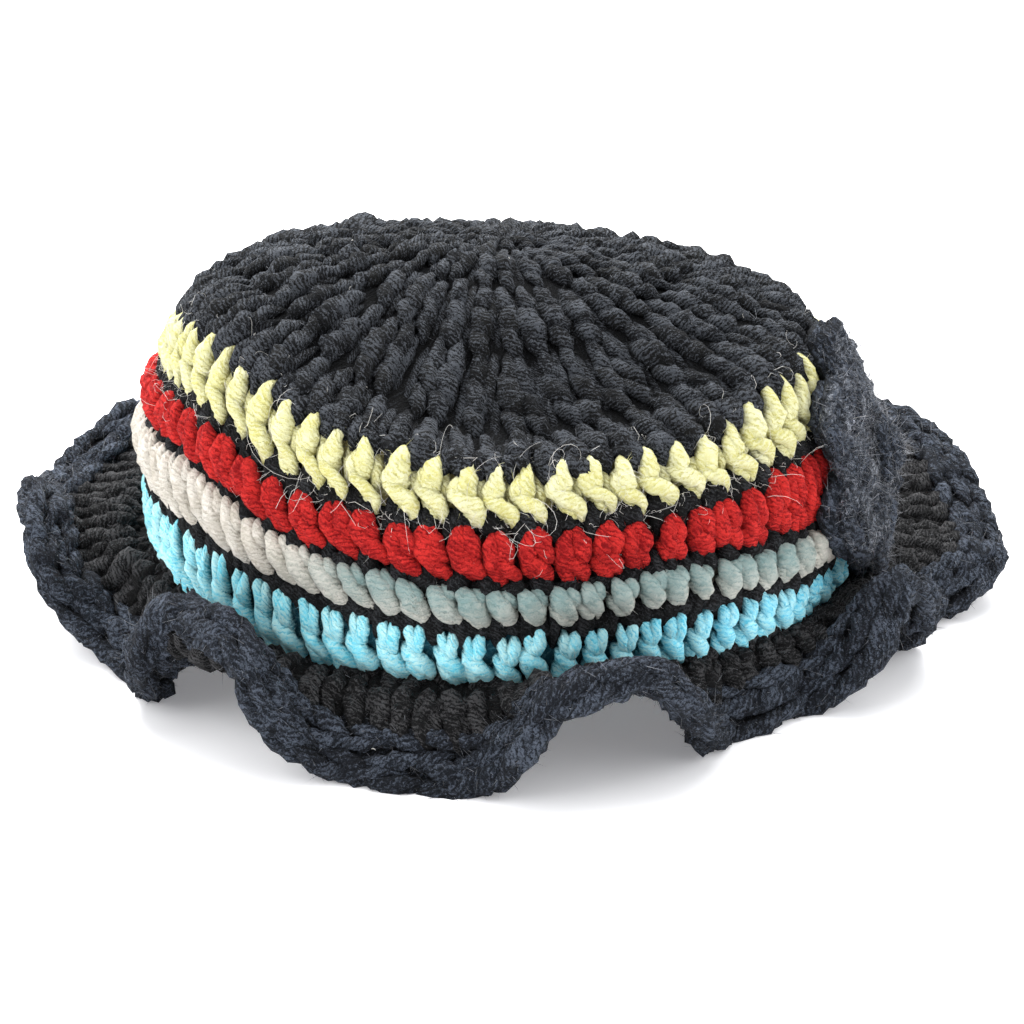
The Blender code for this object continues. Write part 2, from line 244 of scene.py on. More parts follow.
@dataclass(frozen=True)
class YarnFinish:
    """The look of one yarn: fine plies that wind round a strand, fibres along them, felt,
    and deep furrows that take the shadow colour."""

    name: str
    shadow: Colour
    body: Colour
    light: Colour
    second: Colour
    roughness: float = 0.9
    sheen: float = 0.2
    sheen_tint: Colour = (1.0, 1.0, 1.0)
    grooves_round: int = 7
    grooves_per_mm: float = 0.9
    wander: float = 1.5
    ply: float = 0.25
    crinkle: float = 1.6
    lightness: float = 0.45
    contrast: float = 1.0
    fineness: float = 2.4
    sparse: float = 1.0
    relief: float = 0.75
    felt: float = 1.0
    curls: float = 0.08
    dimmed: float = 0.15

    # Cells of each noise in a metre
    BLOTCHES = 240.0
    DRIFTS = 320.0
    CURLS = 900.0
    FIBRES = 1300.0
    FELT = 2600.0

    # Way between the streaks of one strand and of the next, and height of the relief
    STREAK_STEP = 40.0
    RELIEF_HEIGHT = 0.5 * MM

    def material(self) -> bpy.types.Material:
        """The yarn as a material. The plies are the sine of a turn that winds round the
        strand as it runs along it, bent by slow and by fine noise; streaks are noise drawn
        out along them. Their sum lifts the body colour toward the light colour, which is partly
        the yarn's own paler fibres and partly painted highlight on ply ridges and bright curls
        of fibre. Low places, ply furrows and strand sides go dark: painted shade in the shadow
        colour.

        Returns:
            The material.
        """
        shading = Shading(self.name)
        along, around, _ = shading.node("ShaderNodeUVMap", {"uv_map": UV_MAP}).parts()
        place = shading.place()
        tone, proud, shade = (shading.attribute(name) for name in POINT_VALUES)

        drift = shading.noise(place, self.DRIFTS, 2.0) - 0.5
        fibre = shading.noise(place, self.FIBRES, 3.0, 0.6) - 0.5
        turn = (around * float(self.grooves_round) + along * self.grooves_per_mm
                + drift * self.wander + fibre * self.crinkle)
        ridge = abs((turn * math.pi).sine()) ** 0.7 - 0.6
        streak_at = shading.node("ShaderNodeCombineXYZ", {}, along * 0.9 - around * 2.0,
                                 turn * self.fineness, tone * self.STREAK_STEP)
        streak = shading.noise(streak_at, 1.0, 4.0, 0.65) - 0.5
        felt = shading.noise(place, self.FELT, 3.0, 0.7) - 0.5
        # Thin bright curls of fibre: painted highlights
        bends = shading.noise(place, self.CURLS, 2.0, 0.5, 0.8) - 0.5
        curl = 0.35 - (abs(bends) * 12.0).clamped()
        blotch = shading.noise(place, self.BLOTCHES, 3.0) - 0.5

        body = shading.blend(shade, self.body, self.second)
        # The mottle lifts the colour toward the light colour: partly the yarn's own paler fibres,
        # partly painted highlight
        mottle = (ridge * (self.ply * 1.6) + streak * 2.4 + felt * (0.8 + self.curls * 2.0)
                  + curl * self.curls + blotch * 1.2 + tone * 0.3 - 0.10)
        lit = (mottle * self.contrast + self.lightness).clamped() ** self.sparse
        upper = shading.blend(lit * (1.0 - shade * self.dimmed), body, self.light)
        # Painted shade: the colour goes to the shadow colour where proud is low, in ply furrows and
        # in dark felt
        depth = (proud * 1.25 + ridge * (0.2 + self.ply * 0.6) + felt * 0.7 + streak * 0.9
                 - 0.08).clamped()
        height = (ridge * self.ply + streak * 1.2 + felt * self.felt + fibre * 0.8
                  + curl * (self.curls * 0.8))
        return shading.surface(
            Base_Color=shading.blend(depth, self.shadow, upper),
            Roughness=(streak * 0.12 + self.roughness).clamped(),
            Normal=shading.node("ShaderNodeBump", {}, Strength=self.relief,
                                Distance=self.RELIEF_HEIGHT, Height=height),
            Sheen_Weight=self.sheen, Sheen_Roughness=0.5, Sheen_Tint=(*self.sheen_tint, 1.0),
            Specular_IOR_Level=0.15,
        )


@dataclass(frozen=True)
class HairFinish:
    """Loose fibres, from one colour at the root to another at the tip."""

    name: str
    root: Colour
    tip: Colour
    roughness: float = 0.6

    def material(self) -> bpy.types.Material:
        """The fibres as a material that reads each hair's tone and the way along it.

        Returns:
            The material.
        """
        shading = Shading(self.name)
        reach, tone = shading.attribute("proud"), shading.attribute("tone")
        # Paler toward the tip and on a few hairs; on the hairs of the dark yarns this paleness is
        # painted sheen
        paleness = (reach * 0.25 + tone ** 3.0 * 0.8).clamped()
        return shading.surface(Base_Color=shading.blend(paleness, self.root, self.tip),
                               Roughness=self.roughness, Sheen_Weight=0.2, Specular_IOR_Level=0.3)


@dataclass(frozen=True)
class FluffFinish:
    """The haze of curled fibres that stands off the yarn; their pale colour is painted sheen."""

    name: str
    dark: Colour
    pale: Colour
    paleness: float

    # Cells of each noise in a metre: fibres of two lengths, their width and their tone
    SHORT = 900.0
    LONG = 480.0
    WIDTH = 160.0
    TONE = 700.0

    def material(self) -> bpy.types.Material:
        """Fibres on a clear skin: thin lines where either of two noises crosses its
        middle, wider where a slow noise is high, and the skin is clear between them.

        Returns:
            The material.
        """
        shading = Shading(self.name)
        place = shading.place()
        width = shading.noise(place, self.WIDTH, 2.0) * 0.10 - 0.022
        short = (width - abs(shading.noise(place, self.SHORT, 2.0, 0.5, 1.0) - 0.5)) * 40.0
        long = (width - abs(shading.noise(place, self.LONG, 3.0, 0.6, 1.5) - 0.5)) * 40.0
        cover = (short.clamped() * 0.7 + long.clamped() * 0.7).clamped()
        # Painted sheen: part of the fibres go toward the pale colour
        tone = (shading.noise(place, self.TONE, 2.0) * 2.0 - 1.0 + self.paleness).clamped()
        return shading.surface(Base_Color=shading.blend(tone ** 2.0, self.dark, self.pale),
                               Roughness=0.9, Alpha=cover, Sheen_Weight=0.1, Specular_IOR_Level=0.1)


Finish = YarnFinish | HairFinish | FluffFinish


@cache
def finish_material(finish: Finish) -> bpy.types.Material:
    """The material of a finish, built once."""
    return finish.material()


CHARCOAL = YarnFinish(
    "charcoal_wool", (0.0003, 0.0003, 0.0005), (0.0020, 0.0025, 0.0038), (0.098, 0.108, 0.126),
    (0.0078, 0.0070, 0.0050), sheen=0.022, sheen_tint=(0.86, 0.92, 1.0), grooves_round=8,
    grooves_per_mm=1.05, ply=0.45, crinkle=1.7, lightness=0.38, contrast=2.0, sparse=1.95,
    relief=1.25, felt=1.2, curls=0.35)
BROWNED = replace(
    CHARCOAL, name="brown_black_wool", shadow=(0.0003, 0.0003, 0.0004),
    body=(0.0036, 0.0037, 0.0041), light=(0.068, 0.068, 0.071), second=(0.0058, 0.0054, 0.0050),
    sheen=0.012, sheen_tint=(0.92, 0.94, 1.0), ply=0.42, lightness=0.39, contrast=1.8, sparse=2.0,
    relief=1.1, curls=0.3)
BLACK = replace(
    BROWNED, name="black_wool", shadow=(0.0004, 0.0004, 0.0005), body=(0.0026, 0.0027, 0.0030),
    light=(0.036, 0.038, 0.042), second=(0.0035, 0.0035, 0.0034), sheen=0.010,
    sheen_tint=(1.0, 1.0, 1.0), ply=0.40, lightness=0.36, relief=1.0)
NAVY = YarnFinish(
    "navy_wool", (0.0004, 0.0006, 0.0010), (0.0050, 0.0072, 0.0120), (0.116, 0.139, 0.184),
    (0.0062, 0.0070, 0.0108), sheen=0.030, sheen_tint=(0.80, 0.89, 1.0), grooves_per_mm=0.4,
    wander=1.3, ply=0.36, crinkle=1.3, lightness=0.38, contrast=1.3, fineness=3.2, sparse=1.9,
    relief=1.2, felt=1.3, curls=0.35)
YELLOW = YarnFinish(
    "yellow_wool", (0.20, 0.17, 0.060), (0.69, 0.65, 0.210), (0.87, 0.86, 0.55),
    (0.74, 0.70, 0.44), sheen=0.09, grooves_per_mm=0.8, ply=0.36, relief=0.95, contrast=1.15)
RED = YarnFinish(
    "red_wool", (0.014, 0.002, 0.002), (0.22, 0.002, 0.004), (0.64, 0.028, 0.024),
    (0.28, 0.005, 0.008), sheen=0.02, sheen_tint=(1.0, 0.4, 0.35), ply=0.36, lightness=0.42,
    contrast=1.25, relief=0.95, curls=0.1)
# The cream's grey-blue second colour, with its dimmed light colour, is partly the yarn's own
# variegation and partly painted shade
CREAM = YarnFinish(
    "cream_wool", (0.060, 0.050, 0.038), (0.53, 0.48, 0.40), (0.79, 0.75, 0.68),
    (0.185, 0.30, 0.295), sheen=0.05, grooves_per_mm=0.8, ply=0.32, relief=0.90, contrast=1.05,
    dimmed=0.75)
TURQUOISE = YarnFinish(
    "turquoise_wool", (0.010, 0.100, 0.145), (0.16, 0.78, 0.97), (0.62, 0.98, 1.00),
    (0.11, 0.64, 0.88), sheen=0.07, grooves_per_mm=0.8, ply=0.34, relief=0.90, contrast=1.05,
    dimmed=0.25)

WHITE_HAIR = HairFinish("white_hair", (0.70, 0.68, 0.64), (0.90, 0.89, 0.87))
# The pale tips of the dark hairs, the flower's pale hairs and the pale fibres of its fluff are
# painted sheen on dark fibres
DARK_HAIR = HairFinish("dark_hair", (0.010, 0.012, 0.017), (0.330, 0.350, 0.390))
SHEEN_PAINTED_HAIR = HairFinish("pale_hair", (0.020, 0.023, 0.030), (0.46, 0.48, 0.53))
FLOWER_FLUFF = FluffFinish("flower_fluff", (0.012, 0.014, 0.019), (0.24, 0.26, 0.30), 0.60)
YELLOW_HAIR = HairFinish("yellow_hair", (0.74, 0.70, 0.26), (0.92, 0.91, 0.66))
RED_HAIR = HairFinish("red_hair", (0.36, 0.006, 0.008), (0.72, 0.050, 0.045))
CREAM_HAIR = HairFinish("cream_hair", (0.60, 0.60, 0.55), (0.90, 0.89, 0.86))
TURQUOISE_HAIR = HairFinish("turquoise_hair", (0.20, 0.60, 0.74), (0.66, 0.90, 0.96))


# Meshes from arrays


@dataclass
class Patch:
    """A mesh as arrays: points, triangles and quads by the numbers of their points, the
    UVs of the quads' corners, and three values at each point. Triangles only close the
    ends of a form, and have no UVs."""

    points: np.ndarray
    triangles: np.ndarray
    quads: np.ndarray
    quad_uv: np.ndarray
    tone: np.ndarray
    proud: np.ndarray
    shade: np.ndarray


def joined_object(name: str, patches: Sequence[Patch], finish: Finish) -> bpy.types.Object:
    """Joins patches into one mesh object at the origin.

    Args:
        name: The object's name.
        patches: The patches.
        finish: The object's finish.

    Returns:
        The new object, shaded smooth.
    """
    offset = loops = 0
    corners, starts, uvs = [], [], []
    for patch in patches:
        no_uv = np.zeros((patch.triangles.size, 2))
        for faces, uv in ((patch.triangles, no_uv), (patch.quads, patch.quad_uv)):
            corners.append((faces + offset).ravel())
            starts.append(loops + np.arange(len(faces)) * faces.shape[1])
            uvs.append(uv.reshape(-1, 2))
            loops += faces.size
        offset += len(patch.points)
    points = np.concatenate([patch.points for patch in patches])
    start = np.concatenate(starts).astype(np.int32)
    mesh = bpy.data.meshes.new(name)
    mesh.vertices.add(len(points))
    mesh.vertices.foreach_set("co", points.astype(np.float32).ravel())
    mesh.loops.add(loops)
    mesh.loops.foreach_set("vertex_index", np.concatenate(corners).astype(np.int32))
    mesh.polygons.add(len(start))
    mesh.polygons.foreach_set("loop_start", start)
    mesh.polygons.foreach_set("use_smooth", np.ones(len(start), dtype=bool))
    layer = mesh.uv_layers.new(name=UV_MAP)
    layer.data.foreach_set("uv", np.concatenate(uvs).astype(np.float32).ravel())
    for value in POINT_VALUES:
        values = np.concatenate([getattr(patch, value) for patch in patches]).astype(np.float32)
        mesh.attributes.new(value, "FLOAT", "POINT").data.foreach_set("value", values)
    mesh.update(calc_edges=True)
    mesh.materials.append(finish_material(finish))
    piece = bpy.data.objects.new(name, mesh)
    bpy.context.scene.collection.objects.link(piece)
    return piece


def grid_faces(lines: int, points: int, closed: bool = True,
               rings: bool = True) -> tuple[np.ndarray, np.ndarray, np.ndarray]:
    """Quads over points that lie in lines and are numbered along one after the other.
    Each quad goes on along its line first, and then over to the next line.

    Args:
        lines: How many lines there are.
        points: Points in each of them.
        closed: Whether the last line joins the first.
        rings: Whether each line's last point joins its first.

    Returns:
        The quads, and the line and the place along it of each of their corners, which
        count on past the end where a quad goes back to the start.
    """
    line, place = np.meshgrid(np.arange(lines if closed else lines - 1),
                              np.arange(points if rings else points - 1), indexing="ij")
    line = line.reshape(-1, 1) + np.array((0, 0, 1, 1))
    place = place.reshape(-1, 1) + np.array((0, 1, 1, 0))
    return line % lines * points + place % points, line, place


def fan(tip: int, ring: np.ndarray) -> np.ndarray:
    """Triangles that join a point to each step of a ring of points."""
    return np.stack((np.full(len(ring), tip), ring, np.roll(ring, -1)), axis=1)


def repeated(faces: np.ndarray, count: int, size: int) -> np.ndarray:
    """The faces of one form, again for each of many forms of the same number of points."""
    shift = (np.arange(count) * size)[:, None, None]
    return (faces + shift).reshape(-1, faces.shape[1])


def end_fans(lines: int, points: int) -> np.ndarray:
    """Triangles that close a grid of lines: they join the lines' starts to one point and
    their ends to another, the two that are numbered after the grid's."""
    first, tip = np.arange(lines) * points, lines * points
    return np.concatenate((fan(tip, first), fan(tip + 1, first[::-1] + points - 1)))


def over_floor(points: np.ndarray, height: float = 0.0) -> np.ndarray:
    """The points, lifted to a height over the floor where they lie lower."""
    return np.maximum(points, (-np.inf, -np.inf, height))


@dataclass
class Strands:
    """Strands of yarn as arrays: centres (M, K, 3), radii (M, K) and the way out of the
    hat at each centre (M, K, 3), with a tone for each strand and two values along it."""

    centres: np.ndarray
    radii: np.ndarray
    outward: np.ndarray
    tone: np.ndarray
    proud: np.ndarray
    shade: np.ndarray
    sides: int = 8

    # Two waves of lumps: radians in a millimetre, and their start, in radians by tone
    WAVE = 0.9
    COUNTER_WAVE = 1.7
    WAVE_START = 40.0

    # Length of the pointed ends, in radii, and how much deeper than its top a side counts,
    # which paints shade on the sides of each strand
    TIP = 0.7
    SIDE_DEPTH = 0.50

    def only(self, kept: np.ndarray) -> "Strands":
        """The strands of a mask."""
        values = (self.centres, self.radii, self.outward, self.tone, self.proud, self.shade)
        return Strands(*(value[kept] for value in values), self.sides)

    def frame(self) -> tuple[np.ndarray, np.ndarray, np.ndarray]:
        """Works out the ways of each strand. Along is the step to the next centre, and
        across is square to it and to the way out of the hat.

        Returns:
            Unit vectors across, up off and along the strands.
        """
        along = unit(np.gradient(self.centres, axis=1))
        across = unit(np.cross(self.outward, along))
        return across, np.cross(along, across), along

    def tubes(self, lumps: float, grain: float) -> Patch:
        """A closed tube round each strand: circles square to the strand, with a point at
        either end. The radius swells and dips slowly as it goes round and along, by a
        pair of waves that each strand starts at a place of its own, and each point moves
        a little more by chance. The sides of a strand count as deeper than its top, which
        paints shade on them.

        Args:
            lumps: How far the radius swells, as a share of it.
            grain: How far each point moves by chance, as a share of the radius.

        Returns:
            The tubes as one patch.
        """
        count, steps = self.radii.shape
        across, upward, along = self.frame()
        angle = np.arange(self.sides) * 2.0 * np.pi / self.sides
        reach = np.linalg.norm(np.diff(self.centres, axis=1), axis=-1) / MM
        run = np.concatenate((np.zeros((count, 1)), np.cumsum(reach, axis=1)), axis=1)
        start = self.WAVE_START * self.tone[:, None, None]
        swell = (np.cos(2.0 * angle + self.WAVE * run[..., None] + start)
                 + np.cos(angle - self.COUNTER_WAVE * run[..., None] + self.COUNTER_WAVE * start))
        chance = np.random.default_rng(count * steps).normal(0.0, 1.0, (count, steps, self.sides))
        radius = self.radii[..., None] * (1.0 + 0.5 * lumps * swell + grain * chance)
        ring = (self.centres[:, :, None]
                + (radius * np.cos(angle))[..., None] * across[:, :, None]
                + (radius * np.sin(angle))[..., None] * upward[:, :, None])
        end = along * self.radii[..., None] * self.TIP
        tips = np.stack((self.centres[:, 0] - end[:, 0], self.centres[:, -1] + end[:, -1]), axis=1)
        points = over_floor(np.concatenate((ring.reshape(count, -1, 3), tips), axis=1))
        size = points.shape[1]
        quads, step, corner = grid_faces(steps, self.sides, closed=False)
        tip, corners = steps * self.sides, np.arange(self.sides)
        caps = np.concatenate((fan(tip, corners[::-1]), fan(tip + 1, tip - self.sides + corners)))
        along_run = run[:, step]
        uv = np.stack((along_run, np.broadcast_to(corner / self.sides, along_run.shape)), axis=-1)
        # Painted shade on the sides of each strand
        deeper = np.clip(self.proud[..., None] + self.SIDE_DEPTH * (np.sin(angle) - 0.5), 0.0, 1.0)
        proud = (deeper.reshape(count, -1), self.proud[:, :1], self.proud[:, -1:])
        shade = (np.repeat(self.shade, self.sides, axis=1), self.shade[:, :1], self.shade[:, -1:])
        faces = repeated(caps, count, size), repeated(quads, count, size)
        return Patch(points.reshape(-1, 3), *faces, uv, np.repeat(self.tone, size),
                     np.concatenate(proud, axis=1).ravel(), np.concatenate(shade, axis=1).ravel())


def unit(vectors: np.ndarray) -> np.ndarray:
    """Vectors at length 1."""
    return vectors / np.maximum(np.linalg.norm(vectors, axis=-1, keepdims=True), 1e-12)


def cubic(t: np.ndarray | float) -> tuple[np.ndarray, np.ndarray, np.ndarray, np.ndarray]:
    """Weights of a cubic's start, slope at the start, end and slope at the end, at shares
    of the way along it."""
    return 2 * t**3 - 3 * t**2 + 1, t**3 - 2 * t**2 + t, -2 * t**3 + 3 * t**2, t**3 - t**2


def through(knots: np.ndarray, count: int) -> np.ndarray:
    """A smooth curve through knots: between two of them a cubic, with each knot's slope
    half the step from its neighbour before to its neighbour after.

    Args:
        knots: The knots, an array whose first axis runs along the curve.
        count: How many points to read along it.

    Returns:
        Points evenly spread over the knots' numbers.
    """
    slopes = np.gradient(knots, axis=0)
    at = np.linspace(0.0, len(knots) - 1.0, count)
    span = np.minimum(at.astype(int), len(knots) - 2)
    start, leaving, end, arriving = cubic((at - span).reshape((-1,) + (1,) * (knots.ndim - 1)))
    return (start * knots[span] + leaving * slopes[span]
            + end * knots[span + 1] + arriving * slopes[span + 1])


def wrapped(azimuth: np.ndarray) -> np.ndarray:
    """Azimuths from -180 up to 180."""
    return (azimuth + 180.0) % 360.0 - 180.0


def turned(share: np.ndarray) -> np.ndarray:
    """The azimuth at a share of a whole turn that starts opposite the flower's side."""
    return share * 360.0 - 180.0


def round_curve(degrees: Sequence[float], values: Sequence[float], at: np.ndarray) -> np.ndarray:
    """A smooth closed curve read at azimuths. Each span is a cubic whose end slopes are
    flat at a peak or a dip, and elsewhere the harmonic mean of the slopes beside it.

    Args:
        degrees: Azimuths of the knots.
        values: Values there.
        at: Azimuths to read.

    Returns:
        The values at those azimuths.
    """
    order = np.argsort(degrees)
    knots = np.asarray(degrees, float)[order]
    heights = np.asarray(values, float)[order]
    knots = np.concatenate((knots[-2:] - 360.0, knots, knots[:2] + 360.0))
    heights = np.concatenate((heights[-2:], heights, heights[:2]))
    steps = np.diff(knots)
    slopes = np.diff(heights) / steps
    product = slopes[:-1] * slopes[1:]
    total = slopes[:-1] + slopes[1:]
    safe = np.where(np.abs(total) > 1e-12, total, 1.0)
    tangents = np.concatenate(((0.0,), np.where(product > 0.0, 2.0 * product / safe, 0.0), (0.0,)))
    at = wrapped(np.asarray(at, float))
    span = np.clip(np.searchsorted(knots, at, side="right") - 1, 0, len(knots) - 2)
    start, leaving, end, arriving = cubic((at - knots[span]) / steps[span])
    return (start * heights[span] + leaving * steps[span] * tangents[span]
            + end * heights[span + 1] + arriving * steps[span] * tangents[span + 1])


def round_shares(line: np.ndarray) -> tuple[np.ndarray, float]:
    """The share of the way round at each point of a closed line, with 1 added for its
    start again, and its whole length."""
    steps = np.linalg.norm(np.roll(line, -1, axis=0) - line, axis=-1)
    return np.concatenate(((0.0,), np.cumsum(steps))) / steps.sum(), float(steps.sum())


def between(column: np.ndarray, columns: int) -> tuple[np.ndarray, np.ndarray, np.ndarray]:
    """The two columns of a closed grid that a place lies between, and the share of the
    way from the first to the second."""
    low = np.floor(column).astype(int)
    return low % columns, (low + 1) % columns, (column - low)[..., None]


# The wall of the hat


@dataclass(frozen=True)
class HatShape:
    """The sizes of the hat, as its solids have them."""

    head_radius: float = 0.0890
    wall: float = 0.0050
    crown_rise: float = 0.0322
    seam_height: float = 0.0190
    side_lift: float = 0.0200
    band_puff: float = 0.0009
    centre_ring: float = 0.0012
    brim_reach: float = 0.0300
    ruffle_height: float = 0.0300
    brim_arch: float = 0.0020
    brim_seam_lean: float = 32.0
    border_width: float = 0.0150
    border_thickness: float = 0.0090

    # Each round of the wall from the brim up: name, height, radius at its top as a share
    # of the head radius, and the seam whose lift its top follows
    rounds: tuple = (
        ("turquoise_band", 0.0116, 1.000, Seam.TURQUOISE_TOP),
        ("black_round_lower", 0.0020, 1.000, Seam.TURQUOISE_TOP),
        ("cream_band", 0.0082, 0.994, Seam.CREAM_TOP),
        ("black_round_middle", 0.0020, 0.983, Seam.CREAM_TOP),
        ("red_band", 0.0106, 0.950, Seam.RED_TOP),
        ("black_round_upper", 0.0020, 0.938, Seam.RED_TOP),
        ("yellow_band", 0.0121, 0.872, Seam.CROWN_EDGE),
    )
    brim_seam_share: float = 0.978

    # Lift over the height at the front, as a share of the side lift, by azimuth:
    # of the crown's edge, the tops of the red, cream and turquoise bands, the brim's seam
    lift_rows: tuple = (
        (-180, 0.72, 0.70, 0.86, 0.50, 0.30),
        (-150, 0.96, 0.78, 0.85, 0.50, 0.28),
        (-120, 0.35, 0.22, 0.28, 0.18, 0.00),
        (-90, 0.00, 0.00, 0.00, 0.00, 0.00),
        (-60, 0.06, 0.06, 0.08, 0.05, 0.02),
        (-30, 0.50, 0.25, -0.05, -0.12, 0.00),
        (0, 0.45, 0.30, 0.00, -0.10, 0.05),
        (30, 0.10, 0.10, 0.05, 0.05, 0.10),
        (60, -0.10, -0.05, 0.10, 0.10, 0.12),
        (90, -0.15, -0.05, 0.15, 0.15, 0.15),
        (120, -0.05, 0.10, 0.30, 0.25, 0.20),
        (150, 0.25, 0.40, 0.60, 0.40, 0.28),
    )

    # Height of the crown over its edge, as a share of the rise, by share of the radius
    crown_out: tuple = (0.00, 0.18, 0.36, 0.55, 0.76, 0.90, 1.00)
    crown_rows: tuple = (
        (-180, (1.00, 0.97, 0.95, 0.93, 0.74, 0.46, 0.00)),
        (-90, (1.00, 0.98, 0.86, 0.54, 0.14, 0.04, 0.00)),
        (0, (1.00, 0.95, 0.85, 0.74, 0.55, 0.33, 0.00)),
        (90, (1.00, 0.96, 0.86, 0.70, 0.42, 0.18, 0.00)),
    )

    # Valleys and crests of the brim: azimuth, reach of the border's start past the seam
    # and its height, as shares of the longest and highest, and the border's droop
    ruffle_rows: tuple = (
        (-178, 0.65, 0.88, -36),
        (-169, 0.56, 0.68, -20),
        (-159, 0.24, 0.48, 50),
        (-148, 0.20, 0.45, 62),
        (-135, 0.34, 0.74, -62),
        (-124, 0.36, 0.78, -56),
        (-110, 0.34, 0.48, 58),
        (-94, 0.38, 0.45, 62),
        (-84, 0.34, 0.80, -10),
        (-74, 0.34, 0.84, -28),
        (-56, 0.10, 0.47, 76),
        (-43, 0.12, 0.47, 74),
        (-30, 0.32, 0.76, -42),
        (-11, 0.38, 0.50, 70),
        (4, 0.96, 0.54, 14),
        (22, 1.00, 0.92, -4),
        (36, 0.92, 1.00, -10),
        (56, 0.42, 0.45, 60),
        (76, 0.63, 0.92, -30),
        (96, 0.38, 0.45, 62),
        (115, 0.58, 0.92, -28),
        (132, 0.42, 0.46, 58),
        (148, 0.68, 1.00, -16),
        (166, 0.76, 0.84, 0),
    )

    def lift(self, seam: Seam, azimuth: np.ndarray) -> np.ndarray:
        """Lift of one seam at each azimuth, in metres."""
        rows = np.array(self.lift_rows, float)
        return self.side_lift * round_curve(rows[:, 0], rows[:, seam.value], azimuth)

    def edge_height(self) -> float:
        """Height of the crown's edge at the front."""
        return self.seam_height + sum(rise for _, rise, _, _ in self.rounds)

    def ruffle(self, azimuth: np.ndarray) -> tuple[np.ndarray, np.ndarray, np.ndarray]:
        """Reads the start of the border off the table.

        Args:
            azimuth: Azimuths in degrees.

        Returns:
            Its reach past the seam, its height and the border's droop, in radians.
        """
        rows = np.array(self.ruffle_rows, float)
        reach, height, droop = (round_curve(rows[:, 0], rows[:, i], azimuth) for i in (1, 2, 3))
        return self.brim_reach * reach, self.ruffle_height * height, np.radians(droop)


def polar(azimuth: np.ndarray, radius: np.ndarray | float,
          height: np.ndarray | float) -> np.ndarray:
    """Places points round an upright line.

    Args:
        azimuth: Azimuths in degrees.
        radius: Distance from the line.
        height: Height of the points.

    Returns:
        The points.
    """
    angle = np.radians(azimuth)
    radius, height = (np.broadcast_to(value, angle.shape) for value in (radius, height))
    return np.stack((radius * np.cos(angle), radius * np.sin(angle), height), axis=-1)


